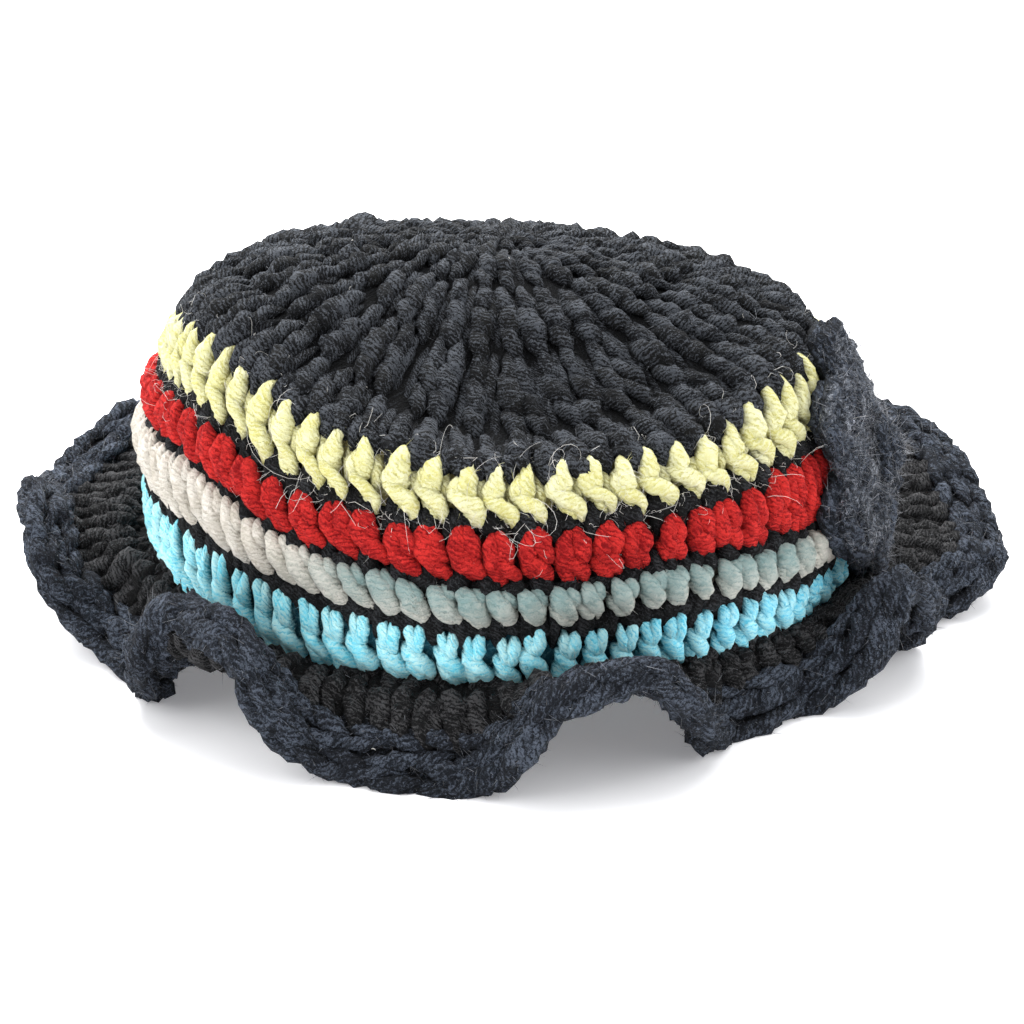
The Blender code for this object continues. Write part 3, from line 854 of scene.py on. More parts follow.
class Wall:
    """The outer surface of the whole wall as a fine grid, read at any azimuth and any
    distance down from the middle of the crown, measured along the wall."""

    COLUMNS = 1440
    STEPS = 8

    def __init__(self, shape: HatShape) -> None:
        """Works out the grid: at every azimuth the heights and radii of the seams, with
        a smooth curve down the wall through them.

        Args:
            shape: The hat's sizes.
        """
        self.shape = shape
        self.azimuth = np.arange(self.COLUMNS) * 360.0 / self.COLUMNS - 180.0
        low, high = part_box("crown")
        self.axis = np.array((0.5 * (low[0] + high[0]), 0.5 * (low[1] + high[1]), 0.0))
        rows, spans = self._rows()
        self.row = {name: (a * self.STEPS, b * self.STEPS) for name, (a, b) in spans.items()}
        self.points = self._smoothed(np.stack(rows, axis=1)) + self.axis
        self.normals = self._normals()
        steps = np.linalg.norm(np.diff(self.points, axis=1), axis=-1).mean(axis=0)
        self.distance = np.concatenate(((0.0,), np.cumsum(steps))) + shape.centre_ring
        self.seam = {name: (self.distance[a], self.distance[b])
                     for name, (a, b) in self.row.items()}

    def _rows(self) -> tuple[list[np.ndarray], dict[str, tuple[int, int]]]:
        """Works out the rows of the wall, from the crown's middle to the border's edge.

        Returns:
            The rows, and the first and the last row of each piece.
        """
        shape, azimuth = self.shape, self.azimuth
        seams = [(shape.seam_height + shape.lift(Seam.BRIM, azimuth),
                  shape.brim_seam_share * shape.head_radius)]
        height = shape.seam_height
        for _, rise, share, seam in shape.rounds:
            height += rise
            seams.append((height + shape.lift(seam, azimuth), share * shape.head_radius))
        edge, edge_radius = seams[-1]
        middle = height + shape.crown_rise
        corners = [row[0] for row in shape.crown_rows]
        rows = []
        for out in (shape.centre_ring / edge_radius,) + shape.crown_out[1:]:
            shares = [np.interp(out, shape.crown_out, row[1]) for row in shape.crown_rows]
            top = edge + (middle - edge) * round_curve(corners, shares, azimuth)
            rows.append(polar(azimuth, out * edge_radius, top))
        spans = {"crown": (0, len(rows) - 1)}
        names = [row[0] for row in shape.rounds][::-1]
        for name, upper, lower in zip(names, seams[:0:-1], seams[-2::-1]):
            start = len(rows) - 1
            if name.endswith("band"):
                rows.append(polar(azimuth, 0.5 * (upper[1] + lower[1]) + shape.band_puff,
                                  0.5 * (upper[0] + lower[0])))
            rows.append(polar(azimuth, lower[1], lower[0]))
            spans[name] = (start, len(rows) - 1)
        seam_height, seam_radius = seams[0]
        reach, border_height, droop = shape.ruffle(azimuth)
        start = len(rows) - 1
        for share in (0.5, 1.0):
            arch = shape.brim_arch * math.sin(math.pi * share)
            rows.append(polar(azimuth, seam_radius + reach * share,
                              seam_height + (border_height - seam_height) * share + arch))
        spans["brim"] = (start, start + 2)
        rows.append(polar(azimuth, seam_radius + reach + shape.border_width * np.cos(droop),
                          border_height - shape.border_width * np.sin(droop)))
        spans["brim_border"] = (start + 2, start + 3)
        return rows, spans

    def _smoothed(self, coarse: np.ndarray) -> np.ndarray:
        """Puts a cubic down the wall between each two rows, with each row's slope the
        mean of the slopes on its two sides, the nearer side counting for more.

        Args:
            coarse: The rows' points, by azimuth and row.

        Returns:
            The points of the finer grid.
        """
        chord = np.linalg.norm(np.diff(coarse, axis=1), axis=-1, keepdims=True)
        slope = np.diff(coarse, axis=1) / chord
        inner = ((slope[:, :-1] * chord[:, 1:] + slope[:, 1:] * chord[:, :-1])
                 / (chord[:, 1:] + chord[:, :-1]))
        tangent = np.concatenate((slope[:, :1], inner, slope[:, -1:]), axis=1)
        finer = []
        for t in np.arange(self.STEPS) / self.STEPS:
            start, leaving, end, arriving = cubic(t)
            finer.append(start * coarse[:, :-1] + leaving * chord * tangent[:, :-1]
                         + end * coarse[:, 1:] + arriving * chord * tangent[:, 1:])
        fine = np.stack(finer, axis=2).reshape(coarse.shape[0], -1, 3)
        return np.concatenate((fine, coarse[:, -1:]), axis=1)

    def _normals(self) -> np.ndarray:
        """Takes the cross product of the steps down and round the grid, with a fixed
        lean along the brim's seam that fades out beside it.

        Returns:
            Unit normals out of the hat.
        """
        round_step = np.roll(self.points, -1, axis=0) - np.roll(self.points, 1, axis=0)
        down_step = np.gradient(self.points, axis=1)
        normals = unit(np.cross(down_step, round_step))
        lean = math.radians(self.shape.brim_seam_lean)
        seam_normal = polar(self.azimuth, math.cos(lean), math.sin(lean))
        away = np.abs(np.arange(normals.shape[1]) - self.row["brim"][0])
        fade = np.clip(1.0 - away / self.STEPS, 0.0, 1.0)[None, :, None]
        return unit(normals * (1.0 - fade) + seam_normal[:, None] * fade)

    def at(self, azimuth: np.ndarray, distance: np.ndarray) -> tuple[np.ndarray, np.ndarray]:
        """Reads the surface between the grid's points.

        Args:
            azimuth: Azimuths in degrees.
            distance: Distances down the wall, in metres, of the same shape.

        Returns:
            Points and normals.
        """
        low, high, across = between((azimuth + 180.0) / 360.0 * self.COLUMNS, self.COLUMNS)
        row = np.interp(distance, self.distance, np.arange(len(self.distance)))
        top = np.minimum(row.astype(int), len(self.distance) - 2)
        down = (row - top)[..., None]
        found = []
        for grid in (self.points, self.normals):
            upper = grid[low, top] * (1.0 - across) + grid[high, top] * across
            lower = grid[low, top + 1] * (1.0 - across) + grid[high, top + 1] * across
            found.append(upper * (1.0 - down) + lower * down)
        return found[0], unit(found[1])

    def even_azimuths(self, distance: float) -> tuple[ByAzimuth, float]:
        """Measures the way round the hat along the wavy wall.

        Args:
            distance: Distance down the wall, in metres.

        Returns:
            A function from the share of that way to the azimuth there, and its length.
        """
        line, _ = self.at(self.azimuth, np.full(self.COLUMNS, distance))
        share, length = round_shares(line)
        degrees = np.append(self.azimuth, 180.0)

        def azimuth_at(part: np.ndarray) -> np.ndarray:
            """The azimuth at a share of the way, counting on past a whole turn."""
            whole = np.floor(part)
            return np.interp(part - whole, share, degrees) + 360.0 * whole

        return azimuth_at, length


class BorderCore:
    """The border's own frame: the start of the border on the middle of the brim's wall,
    the way out to its edge and the way up off it, all by azimuth."""

    def __init__(self, wall: Wall) -> None:
        """Reads the brim's end off the wall.

        Args:
            wall: The wall of the hat.
        """
        shape = wall.shape
        row, end = wall.row["brim_border"]
        start, normal = wall.points[:, row], wall.normals[:, row]
        self.shape = shape
        self.columns = wall.COLUMNS
        self.along = unit(wall.points[:, end] - start)
        slope = np.sum(normal * self.along, axis=-1, keepdims=True)
        self.normal = unit(normal - self.along * slope)
        self.middle = start - normal * shape.wall * 0.5
        self.share, self.length = round_shares(self.middle + self.along * shape.border_width * 0.5)

    def at(self, part: np.ndarray, across: np.ndarray,
           rise: np.ndarray) -> tuple[np.ndarray, np.ndarray]:
        """Reads a place in the border.

        Args:
            part: Share of the way round, along the border.
            across: Share of the border's width out from the brim.
            rise: Share of its thickness off its middle.

        Returns:
            Points, and the way out of the border's middle line there.
        """
        column = np.interp(np.mod(part, 1.0), self.share, np.arange(self.columns + 1))
        low, high, blend = between(column, self.columns)
        middle, along, normal = (grid[low] * (1.0 - blend) + grid[high] * blend
                                 for grid in (self.middle, self.along, self.normal))
        along, normal = unit(along), unit(normal)
        point = (middle + along * (across * self.shape.border_width)[..., None]
                 + normal * (rise * self.shape.border_thickness)[..., None])
        outward = along * ((across - 0.5) * 0.9)[..., None] + normal * (rise + 1e-6)[..., None]
        return point, unit(outward)


# Stitches


@dataclass(frozen=True)
class StrandPath:
    """One strand of a stitch. Rows are: across, in stitches; down, as a share of the
    round's height; above the wall's surface, and radius, both in millimetres."""

    rows: tuple[Row, ...]
    steps: int = 12
    sides: int = 8

    def curve(self) -> np.ndarray:
        """The strand's smooth path as rows of the same four columns."""
        return through(np.array(self.rows, float), self.steps)


@dataclass(frozen=True)
class Jitter:
    """How much one stitch differs from the next."""

    across: float = 0.06
    down: float = 0.035
    above: float = 0.30
    radius: float = 0.10
    lean: float = 0.08


@dataclass
class StitchRound:
    """A round of stitches on the wall, all alike but for their jitter. Their heights are
    counted from a level just below the face that they lie on, in millimetres."""

    wall: Wall
    paths: tuple[StrandPath, ...]
    upper: float
    lower: float
    count: int
    seed: int
    phase: float = 0.0
    jitter: Jitter = Jitter()
    azimuth_at: ByAzimuth = turned
    shade_at: ByAzimuth | None = None
    face: Face = Face.OUTER
    level: float = 1.8
    swell: float = 1.0
    mixed: float = 0.0
    slant: float = 0.0
    kept_at: ByAzimuth | None = None

    # Height that counts as the depth of a gap, how far the highest yarn is over it, and
    # the share of a strand's radius that its own height counts with; the lower a strand
    # lies, the more painted shade its material gives it
    DEEPEST = -1.8
    RELIEF = 3.9
    RADIUS_SHARE = 0.6

    # Share of the second colour at the top of a stitch, how fast it goes down the stitch,
    # and the least of it
    TOP_SHADE = 1.25
    SHADE_FALL = 0.85
    LEAST_SHADE = 0.2

    def strands(self) -> list[Strands]:
        """The round's strands, one set for each path: stitch number plus the way across
        gives the share of the way round, and the share down gives the distance.

        Returns:
            Strands over the whole round.
        """
        rng = np.random.default_rng(self.seed)
        number, jitter = np.arange(self.count)[:, None], self.jitter
        aside, sunk, raised, leaning = (rng.normal(0.0, 1.0, (self.count, 1)) for _ in range(4))
        found = []
        for path in self.paths:
            across, down, rise, radius = path.curve().T[:, None]
            own = rng.normal(0.0, 1.0, (self.count, 3))
            across = (across + jitter.across * aside + jitter.lean * leaning * (down - 0.5)
                      + 0.5 * jitter.across * own[:, :1])
            if self.slant:
                side = left_side(turned((number + self.phase) / self.count))
                across = across + self.slant * side * (down - 0.5)
            down = down + jitter.down * (sunk + 0.5 * own[:, 1:2])
            rise = rise + jitter.above * 0.5 * (raised + own[:, 2:3])
            thickness = 1.0 + jitter.radius * rng.normal(0.0, 1.0, (self.count, 1))
            radius = radius * self.swell * thickness
            azimuth = self.azimuth_at((number + across + self.phase) / self.count)
            point, normal = self.wall.at(azimuth, self.upper + (self.lower - self.upper) * down)
            # Painted shade: the lower a strand's top, the lower its proud
            top = rise + radius * self.RADIUS_SHARE
            proud = np.clip((top - self.DEEPEST) / self.RELIEF, 0.0, 1.0)
            shade = self.mixed * rng.random((self.count, 1)) * np.ones_like(azimuth)
            if self.shade_at:
                shade = self.shade_at(azimuth) * np.clip(self.TOP_SHADE - self.SHADE_FALL * down,
                                                         self.LEAST_SHADE, 1.0)
            lift = rise - self.level
            if self.face is Face.INNER:
                lift = self.level - rise - self.wall.shape.wall / MM
            strands = Strands(point + normal * (lift * MM)[..., None], radius * MM,
                              normal * self.face.value, rng.random(self.count), proud, shade,
                              path.sides)
            if self.kept_at:
                strands = strands.only(self.kept_at(azimuth.mean(axis=1)))
            found.append(strands)
        return found


@dataclass(frozen=True)
class Gaps:
    """The gaps along one edge of a coloured round: how many go round the hat, where the
    first lies in stitches, how far the yarn beside them reaches in, in metres, and its
    radius in millimetres."""

    count: int
    phase: float
    reach: float
    radius: float

    TOOTH = StrandPath((
        (0.00, -0.90, -1.3, 0.70), (0.00, -0.35, -0.6, 1.00), (0.01, 0.20, -0.6, 0.90),
        (0.02, 0.65, -0.9, 0.62), (0.03, 1.00, -1.5, 0.25)), 7, 6)

    def teeth(self, wall: Wall, seam: float, way: float, seed: int) -> list[Strands]:
        """Wedges of the round beside, each narrowing as it goes into its gap.

        Args:
            wall: The wall of the hat.
            seam: Distance of the edge down the wall.
            way: +1 where the wedges go down the wall, -1 where they go up.
            seed: Seed of the random draws.

        Returns:
            The wedges as strands.
        """
        return StitchRound(wall, (self.TOOTH,), seam, seam + way * self.reach, self.count, seed,
                           self.phase, swell=self.radius).strands()


@dataclass(frozen=True)
class Backing:
    """The closed wall behind the stitches, on a grid of columns round the hat and rows
    down it: an outer face at a depth below the surface, an inner face at the wall's
    thickness that swells over the back of each post, and edges. Both in millimetres."""

    columns: int
    rows: int
    posts: int
    depth: float = 3.3
    relief: float = 1.2
    closed_top: bool = False

    # How deep the two faces and the middle of a closed top count; the outer face, seen in
    # the gaps between stitches, takes painted shade in the yarn's shadow colour
    OUTER = 0.0
    INNER = 0.55
    MIDDLE = 0.45

    # UV step from row to row, in millimetres, and from column to column, in turns
    ROW_UV = 1.5
    COLUMN_UV = 1.0 / 6.0

    def patch(self, wall: Wall, upper: float, lower: float) -> Patch:
        """The backing between two distances down the wall.

        Args:
            wall: The wall of the hat.
            upper: Distance of its upper edge.
            lower: Distance of its lower edge.

        Returns:
            The outer and the inner face, joined edge to edge.
        """
        azimuth = np.arange(self.columns) * 360.0 / self.columns - 180.0
        down = np.linspace(0.0, 1.0, self.rows)
        azimuth, distance = np.meshgrid(azimuth, upper + (lower - upper) * down, indexing="ij")
        point, normal = wall.at(azimuth, distance)
        outer = point - normal * (self.depth * MM)
        wave = np.abs(np.sin(np.radians(azimuth) * self.posts * 0.5)) ** 0.7
        ends = np.sin(np.pi * np.clip(down, 0.02, 0.98)) ** 0.5
        thickness = wall.shape.wall - self.relief * MM * (1.0 - wave * ends)
        inner = point - normal * thickness[..., None]
        section = np.concatenate((outer, inner[:, ::-1]), axis=1)
        count = section.shape[1]
        quads, column, row = grid_faces(self.columns, count, rings=not self.closed_top)
        points = section.reshape(-1, 3)
        caps = np.zeros((0, 3), int)
        if self.closed_top:
            caps = end_fans(self.columns, count)
            points = np.concatenate((points, outer[:, 0].mean(axis=0)[None],
                                     inner[:, 0].mean(axis=0)[None]))
        flat = np.zeros(len(points))
        proud = np.full(len(points), self.MIDDLE)
        proud[:self.columns * count] = np.tile(np.repeat((self.OUTER, self.INNER), self.rows),
                                               self.columns)
        uv = np.stack((row * self.ROW_UV, column * self.COLUMN_UV), axis=-1)
        return Patch(points, caps, quads, uv, flat, proud, flat)


@dataclass(frozen=True)
class HairCoat:
    """Loose fibres over a set of strands: how many, how long and thick, in millimetres,
    how far they turn, in radians, and how far they stand up, as a share of their length."""

    count: int
    length: tuple[float, float]
    thickness: float
    curl: float
    rings: int = 2
    coat: Coat = Coat.OUTWARD
    lift: float = 0.8

    # How far out in the strand the roots are, as a share of its radius, and the least and
    # the most that the way up of a hair turns, in radians
    ROOT = 0.85
    LEAST_TURN = 0.3
    MOST_TURN = 2.6

    # Way aside at the tip and radius of the curl, as shares of a hair's length
    ASIDE = 0.40
    CURL_RADIUS = 0.22

    def patch(self, strands: Sequence[Strands], seed: int) -> Patch:
        """Grows hairs from random places on the strands: each is a thin three-sided
        spike along a curve that starts out of the yarn and turns aside as it goes.

        Args:
            strands: The yarn to grow them on.
            seed: Seed of the random draws.

        Returns:
            The hairs as one patch.
        """
        rng = np.random.default_rng(seed)
        roots, ways = [], []
        sizes = np.array([group.radii.size for group in strands], float)
        shares = np.floor(self.count * sizes / sizes.sum()).astype(int)
        for group, amount in zip(strands, shares):
            spot = tuple(rng.integers(0, most, amount) for most in group.radii.shape)
            across, upward, _ = group.frame()
            angle = np.arcsin(rng.uniform(self.coat.value, 1.0, amount))
            angle = np.where(rng.random(amount) < 0.5, angle, np.pi - angle)
            way = np.cos(angle)[:, None] * across[spot] + np.sin(angle)[:, None] * upward[spot]
            roots.append(group.centres[spot] + way * (group.radii[spot] * self.ROOT)[:, None])
            ways.append(way)
        root, way = np.concatenate(roots), np.concatenate(ways)
        total = len(root)
        aside = unit(np.cross(way, rng.normal(0.0, 1.0, (total, 3))))
        turn = unit(np.cross(way, aside))[:, None]
        length = rng.gamma(2.0, 0.5, total).clip(0.25, 2.2) * rng.uniform(*self.length, total) * MM
        bend = (rng.uniform(0.4, 1.0, total) * self.curl)[:, None, None]
        t = np.linspace(0.0, 1.0, self.rings + 1)[None, :, None]
        rise = np.sin(np.minimum(t * bend, self.MOST_TURN)) / np.maximum(bend, self.LEAST_TURN)
        out = self.lift * rise
        swing = self.ASIDE * t + (1.0 - np.cos(2.0 * t * bend)) * self.CURL_RADIUS
        curve = root[:, None] + length[:, None, None] * (
            way[:, None] * out + aside[:, None] * swing
            + turn * np.sin(2.0 * t * bend) * self.CURL_RADIUS)
        curve = over_floor(curve, self.thickness * MM)
        along = unit(np.gradient(curve, axis=1))
        side = unit(np.cross(along, turn + 0.01))
        up = np.cross(along, side)[:, :self.rings, None]
        side = side[:, :self.rings, None]
        angle = (np.arange(3) * 2.0 * np.pi / 3.0)[:, None]
        thin = self.thickness * MM * np.linspace(1.0, 0.5, self.rings)[:, None, None]
        ring = curve[:, :self.rings, None] + thin * (np.cos(angle) * side + np.sin(angle) * up)
        points = over_floor(np.concatenate((ring.reshape(total, -1, 3), curve[:, -1:]), axis=1))
        size, tip = points.shape[1], 3 * self.rings
        quads, _, _ = grid_faces(self.rings, 3, closed=False)
        ends = np.concatenate((((0, 2, 1),), fan(tip, np.arange(tip - 3, tip))))
        reach = np.append(np.repeat(np.linspace(0.0, 0.8, self.rings), 3), 1.0)
        return Patch(points.reshape(-1, 3), repeated(ends, total, size),
                     repeated(quads, total, size), np.zeros((total * quads.size, 2)),
                     np.repeat(rng.random(total), size), np.tile(reach, total),
                     np.zeros(total * size))


# Pieces of the hat


@dataclass
class Piece:
    """One sub-assembly of the hat, which stands for a CAD node."""

    wall: Wall
    node: str
    slot: Slot

    # How uneven the yarn is: its lumps and its grain, as shares of its radius
    LUMPS = 0.16
    GRAIN = 0.07

    def place(self, name: str, patches: Sequence[Patch], finish: Finish,
              stands_for_node: bool = True) -> None:
        """Makes one object of the patches and ties it to the hat.

        Args:
            name: The object's name.
            patches: Its mesh.
            finish: Its finish.
            stands_for_node: Whether it replaces the CAD node.
        """
        piece = joined_object(name, patches, finish)
        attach(piece, BODY)
        if stands_for_node:
            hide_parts(self.node)
        LOG.info("%s: %d triangles", name, len(piece.data.loop_triangles))

    def crochet(self, yarn: list[Strands], behind: Patch, finish: Finish,
                ending: str = "stitches") -> list[Strands]:
        """Makes one object of the piece's yarn and of what lies behind it.

        Args:
            yarn: The strands.
            behind: The patch behind them.
            finish: The yarn's finish.
            ending: The object's name after its node's.

        Returns:
            The strands, for hairs to grow on.
        """
        patches = [strands.tubes(self.LUMPS, self.GRAIN) for strands in yarn]
        self.place(f"{self.node}_{ending}", [*patches, behind], finish)
        return yarn


@dataclass
class Crown(Piece):
    """The black dome: five rounds of long posts, more in each, from a closed ring. Each
    post is a spindle of three lobes, notched where they meet, between two lower legs."""

    ring_seams: tuple[float, ...] = (0.0025, 0.0120, 0.0300, 0.0470, 0.0670)
    ring_counts: tuple[int, ...] = (14, 28, 42, 56, 72)
    overlap: float = 0.0030
    post_width: float = 0.0060
    uneven: Jitter = Jitter(0.11, 0.05, 0.5, 0.13, 0.18)
    gaps: Gaps = Gaps(70, 0.80, 0.0062, 2.3)
    backing: Backing = Backing(216, 16, 72, closed_top=True)
    post: tuple[StrandPath, ...] = (
        StrandPath(((-0.14, -0.14, -1.7, 0.6), (-0.14, 0.02, -0.2, 1.4), (-0.09, 0.18, 0.5, 2.1),
                    (0.02, 0.34, 0.4, 2.2), (0.16, 0.47, -1.3, 0.9)), 9, 8),
        StrandPath(((-0.34, 0.24, -1.6, 0.8), (-0.22, 0.37, 0.1, 1.9), (-0.03, 0.53, 0.8, 2.7),
                    (0.15, 0.68, 0.3, 2.2), (0.26, 0.79, -1.4, 0.8)), 9, 8),
        StrandPath(((-0.28, 0.56, -1.5, 0.8), (-0.15, 0.70, 0.2, 1.9), (0.03, 0.85, 0.6, 2.3),
                    (0.16, 0.98, 0.0, 1.7), (0.22, 1.10, -1.7, 0.6)), 9, 8),
        StrandPath(((0.36, -0.02, -1.8, 0.7), (0.35, 0.20, -0.6, 1.4), (0.36, 0.48, -0.4, 1.5),
                    (0.44, 0.78, -1.6, 0.8)), 9, 7),
        StrandPath(((-0.54, 0.10, -1.8, 0.7), (-0.50, 0.36, -0.8, 1.3), (-0.48, 0.72, -0.9, 1.3),
                    (-0.42, 1.00, -1.8, 0.6)), 9, 7),
    )

    LUMPS = 0.26
    GRAIN = 0.09

    def build(self) -> list[Strands]:
        """Builds the crown. Where a round's posts are narrower than the widest, they are
        thinner too.

        Returns:
            Its strands, for hairs to grow on.
        """
        top, edge = self.wall.distance[0], self.wall.seam["crown"][1]
        seams = self.ring_seams + (edge + self.overlap,)
        yarn: list[Strands] = []
        for i, (count, upper, lower) in enumerate(zip(self.ring_counts, seams, seams[1:])):
            width = 2.0 * math.pi * (0.5 * (upper + lower)) / count
            yarn += StitchRound(self.wall, self.post, upper, lower, count, 11 + i, 0.37 * i,
                                self.uneven, swell=min(1.0, width / self.post_width), mixed=0.6,
                                level=2.7).strands()
        yarn += self.gaps.teeth(self.wall, edge, 1.0, 17)
        return self.crochet(yarn, self.backing.patch(self.wall, top, edge), CHARCOAL)


@dataclass
class Band(Piece):
    """A coloured round of the side."""

    finish: YarnFinish
    paths: tuple[StrandPath, ...]
    count: int
    seed: int
    phase: float
    slant: float = 0.0
    shade_at: ByAzimuth | None = None

    def build(self) -> list[Strands]:
        """Builds the band.

        Returns:
            Its strands, for hairs to grow on.
        """
        upper, lower = self.wall.seam[self.node]
        yarn = StitchRound(self.wall, self.paths, upper, lower, self.count, self.seed, self.phase,
                           shade_at=self.shade_at, slant=self.slant).strands()
        behind = Backing(210, 5, self.count).patch(self.wall, upper, lower)
        return self.crochet(yarn, behind, self.finish)


@dataclass
class BlackRound(Piece):
    """A thin black round, whose stitches show in the gaps between the teeth of the
    rounds above and below it."""

    above: Gaps
    below: Gaps
    seed: int
    overlap: float = 0.0016
    paths: tuple[StrandPath, ...] = (
        StrandPath(((0.50, 0.0, -1.7, 1.0), (0.46, 0.25, -0.9, 1.8), (0.50, 0.50, -0.6, 2.0),
                    (0.56, 0.75, -0.9, 1.8), (0.56, 1.0, -1.7, 1.0)), 6, 6),
        StrandPath(((-0.10, 0.40, -1.8, 0.9), (0.20, 0.52, -0.8, 1.5), (0.60, 0.56, -0.6, 1.5),
                    (0.95, 0.48, -1.8, 0.8)), 6, 6),
    )

    def build(self) -> list[Strands]:
        """Builds the round.

        Returns:
            Its strands, for hairs to grow on.
        """
        upper, lower = self.wall.seam[self.node]
        yarn = StitchRound(self.wall, self.paths, upper - self.overlap, lower + self.overlap,
                           self.below.count, self.seed).strands()
        yarn += self.above.teeth(self.wall, upper, -1.0, self.seed + 10)
        yarn += self.below.teeth(self.wall, lower, 1.0, self.seed + 20)
        behind = Backing(210, 3, self.below.count, 3.2, 0.8).patch(self.wall, upper, lower)
        return self.crochet(yarn, behind, BLACK)


@dataclass
class Brim(Piece):
    """The black start of the ruffle: a round of short bumps and one or, where the ruffle
    is long, two rounds of posts, worked on both faces of the wall."""

    gaps: Gaps = Gaps(84, 1.12, 0.0026, 1.7)
    uneven: Jitter = Jitter(0.11, 0.05, 0.45, 0.14, 0.16)
    backing: Backing = Backing(360, 6, 80, 2.0, 2.0)
    bumps: tuple[StrandPath, ...] = (
        StrandPath(((-0.36, 0.20, -1.6, 0.9), (-0.22, -0.02, -0.2, 1.6), (0.04, -0.08, 0.2, 1.8),
                    (0.28, 0.08, -0.3, 1.6), (0.40, 0.42, -1.6, 0.9)), 9),
        StrandPath(((-0.14, 0.05, -1.3, 1.1), (-0.08, 0.45, -0.3, 1.7),
                    (0.06, 0.95, -1.2, 1.2)), 8),
    )
    posts: tuple[StrandPath, ...] = (
        StrandPath(((-0.16, -0.10, -1.6, 0.9), (-0.16, 0.12, -0.1, 2.0), (-0.08, 0.36, 0.2, 2.4),
                    (0.06, 0.60, -0.2, 2.0), (0.16, 0.76, -1.3, 1.0)), 10),
        StrandPath(((-0.36, 0.42, -1.4, 1.0), (-0.20, 0.58, 0.1, 2.0), (0.02, 0.78, 0.4, 2.3),
                    (0.16, 0.96, -0.1, 2.0), (0.24, 1.10, -1.4, 1.0)), 10),
        StrandPath(((0.42, 0.0, -1.8, 0.8), (0.42, 0.30, -0.7, 1.4), (0.44, 0.70, -0.8, 1.4),
                    (0.46, 1.0, -1.8, 0.9)), 8, 7),
    )
    bump_share: float = 0.28
    overlap: float = 0.0045
    longest_post: float = 0.0150

    LUMPS = 0.26
    GRAIN = 0.09

    def is_short(self, azimuth: np.ndarray) -> np.ndarray:
        """Where one round of posts is enough."""
        return self.wall.shape.ruffle(azimuth)[0] < self.longest_post

    def is_long(self, azimuth: np.ndarray) -> np.ndarray:
        """Where the posts are worked in two rounds."""
        return ~self.is_short(azimuth)

    def build(self) -> list[Strands]:
        """Builds the brim.

        Returns:
            Its strands, for hairs to grow on.
        """
        upper, lower = self.wall.seam["brim"]
        split = upper + self.bump_share * (lower - upper)
        middle = 0.5 * (split + lower)
        yarn = self.gaps.teeth(self.wall, upper, -1.0, 55)
        for paths, top, bottom, pitch, seed, kept in (
                (self.bumps, upper, split, 0.0064, 51, None),
                (self.posts, split, lower + self.overlap, 0.0056, 53, self.is_short),
                (self.posts, split, middle + 0.15 * self.overlap, 0.0060, 57, self.is_long),
                (self.posts, middle, lower + 0.6 * self.overlap, 0.0060, 59, self.is_long)):
            azimuth_at, length = self.wall.even_azimuths(0.5 * (top + bottom))
            count = round(length / pitch)
            plain = tuple(StrandPath(path.rows, 7, 6) for path in paths[:2])
            for face, own, own_seed, phase in ((Face.OUTER, paths, seed, 0.0),
                                               (Face.INNER, plain, seed + 1, 0.5)):
                yarn += StitchRound(self.wall, own, top, bottom, count, own_seed, phase,
                                    self.uneven, azimuth_at, face=face, kept_at=kept).strands()
        return self.crochet(yarn, self.backing.patch(self.wall, upper, lower), BROWNED)


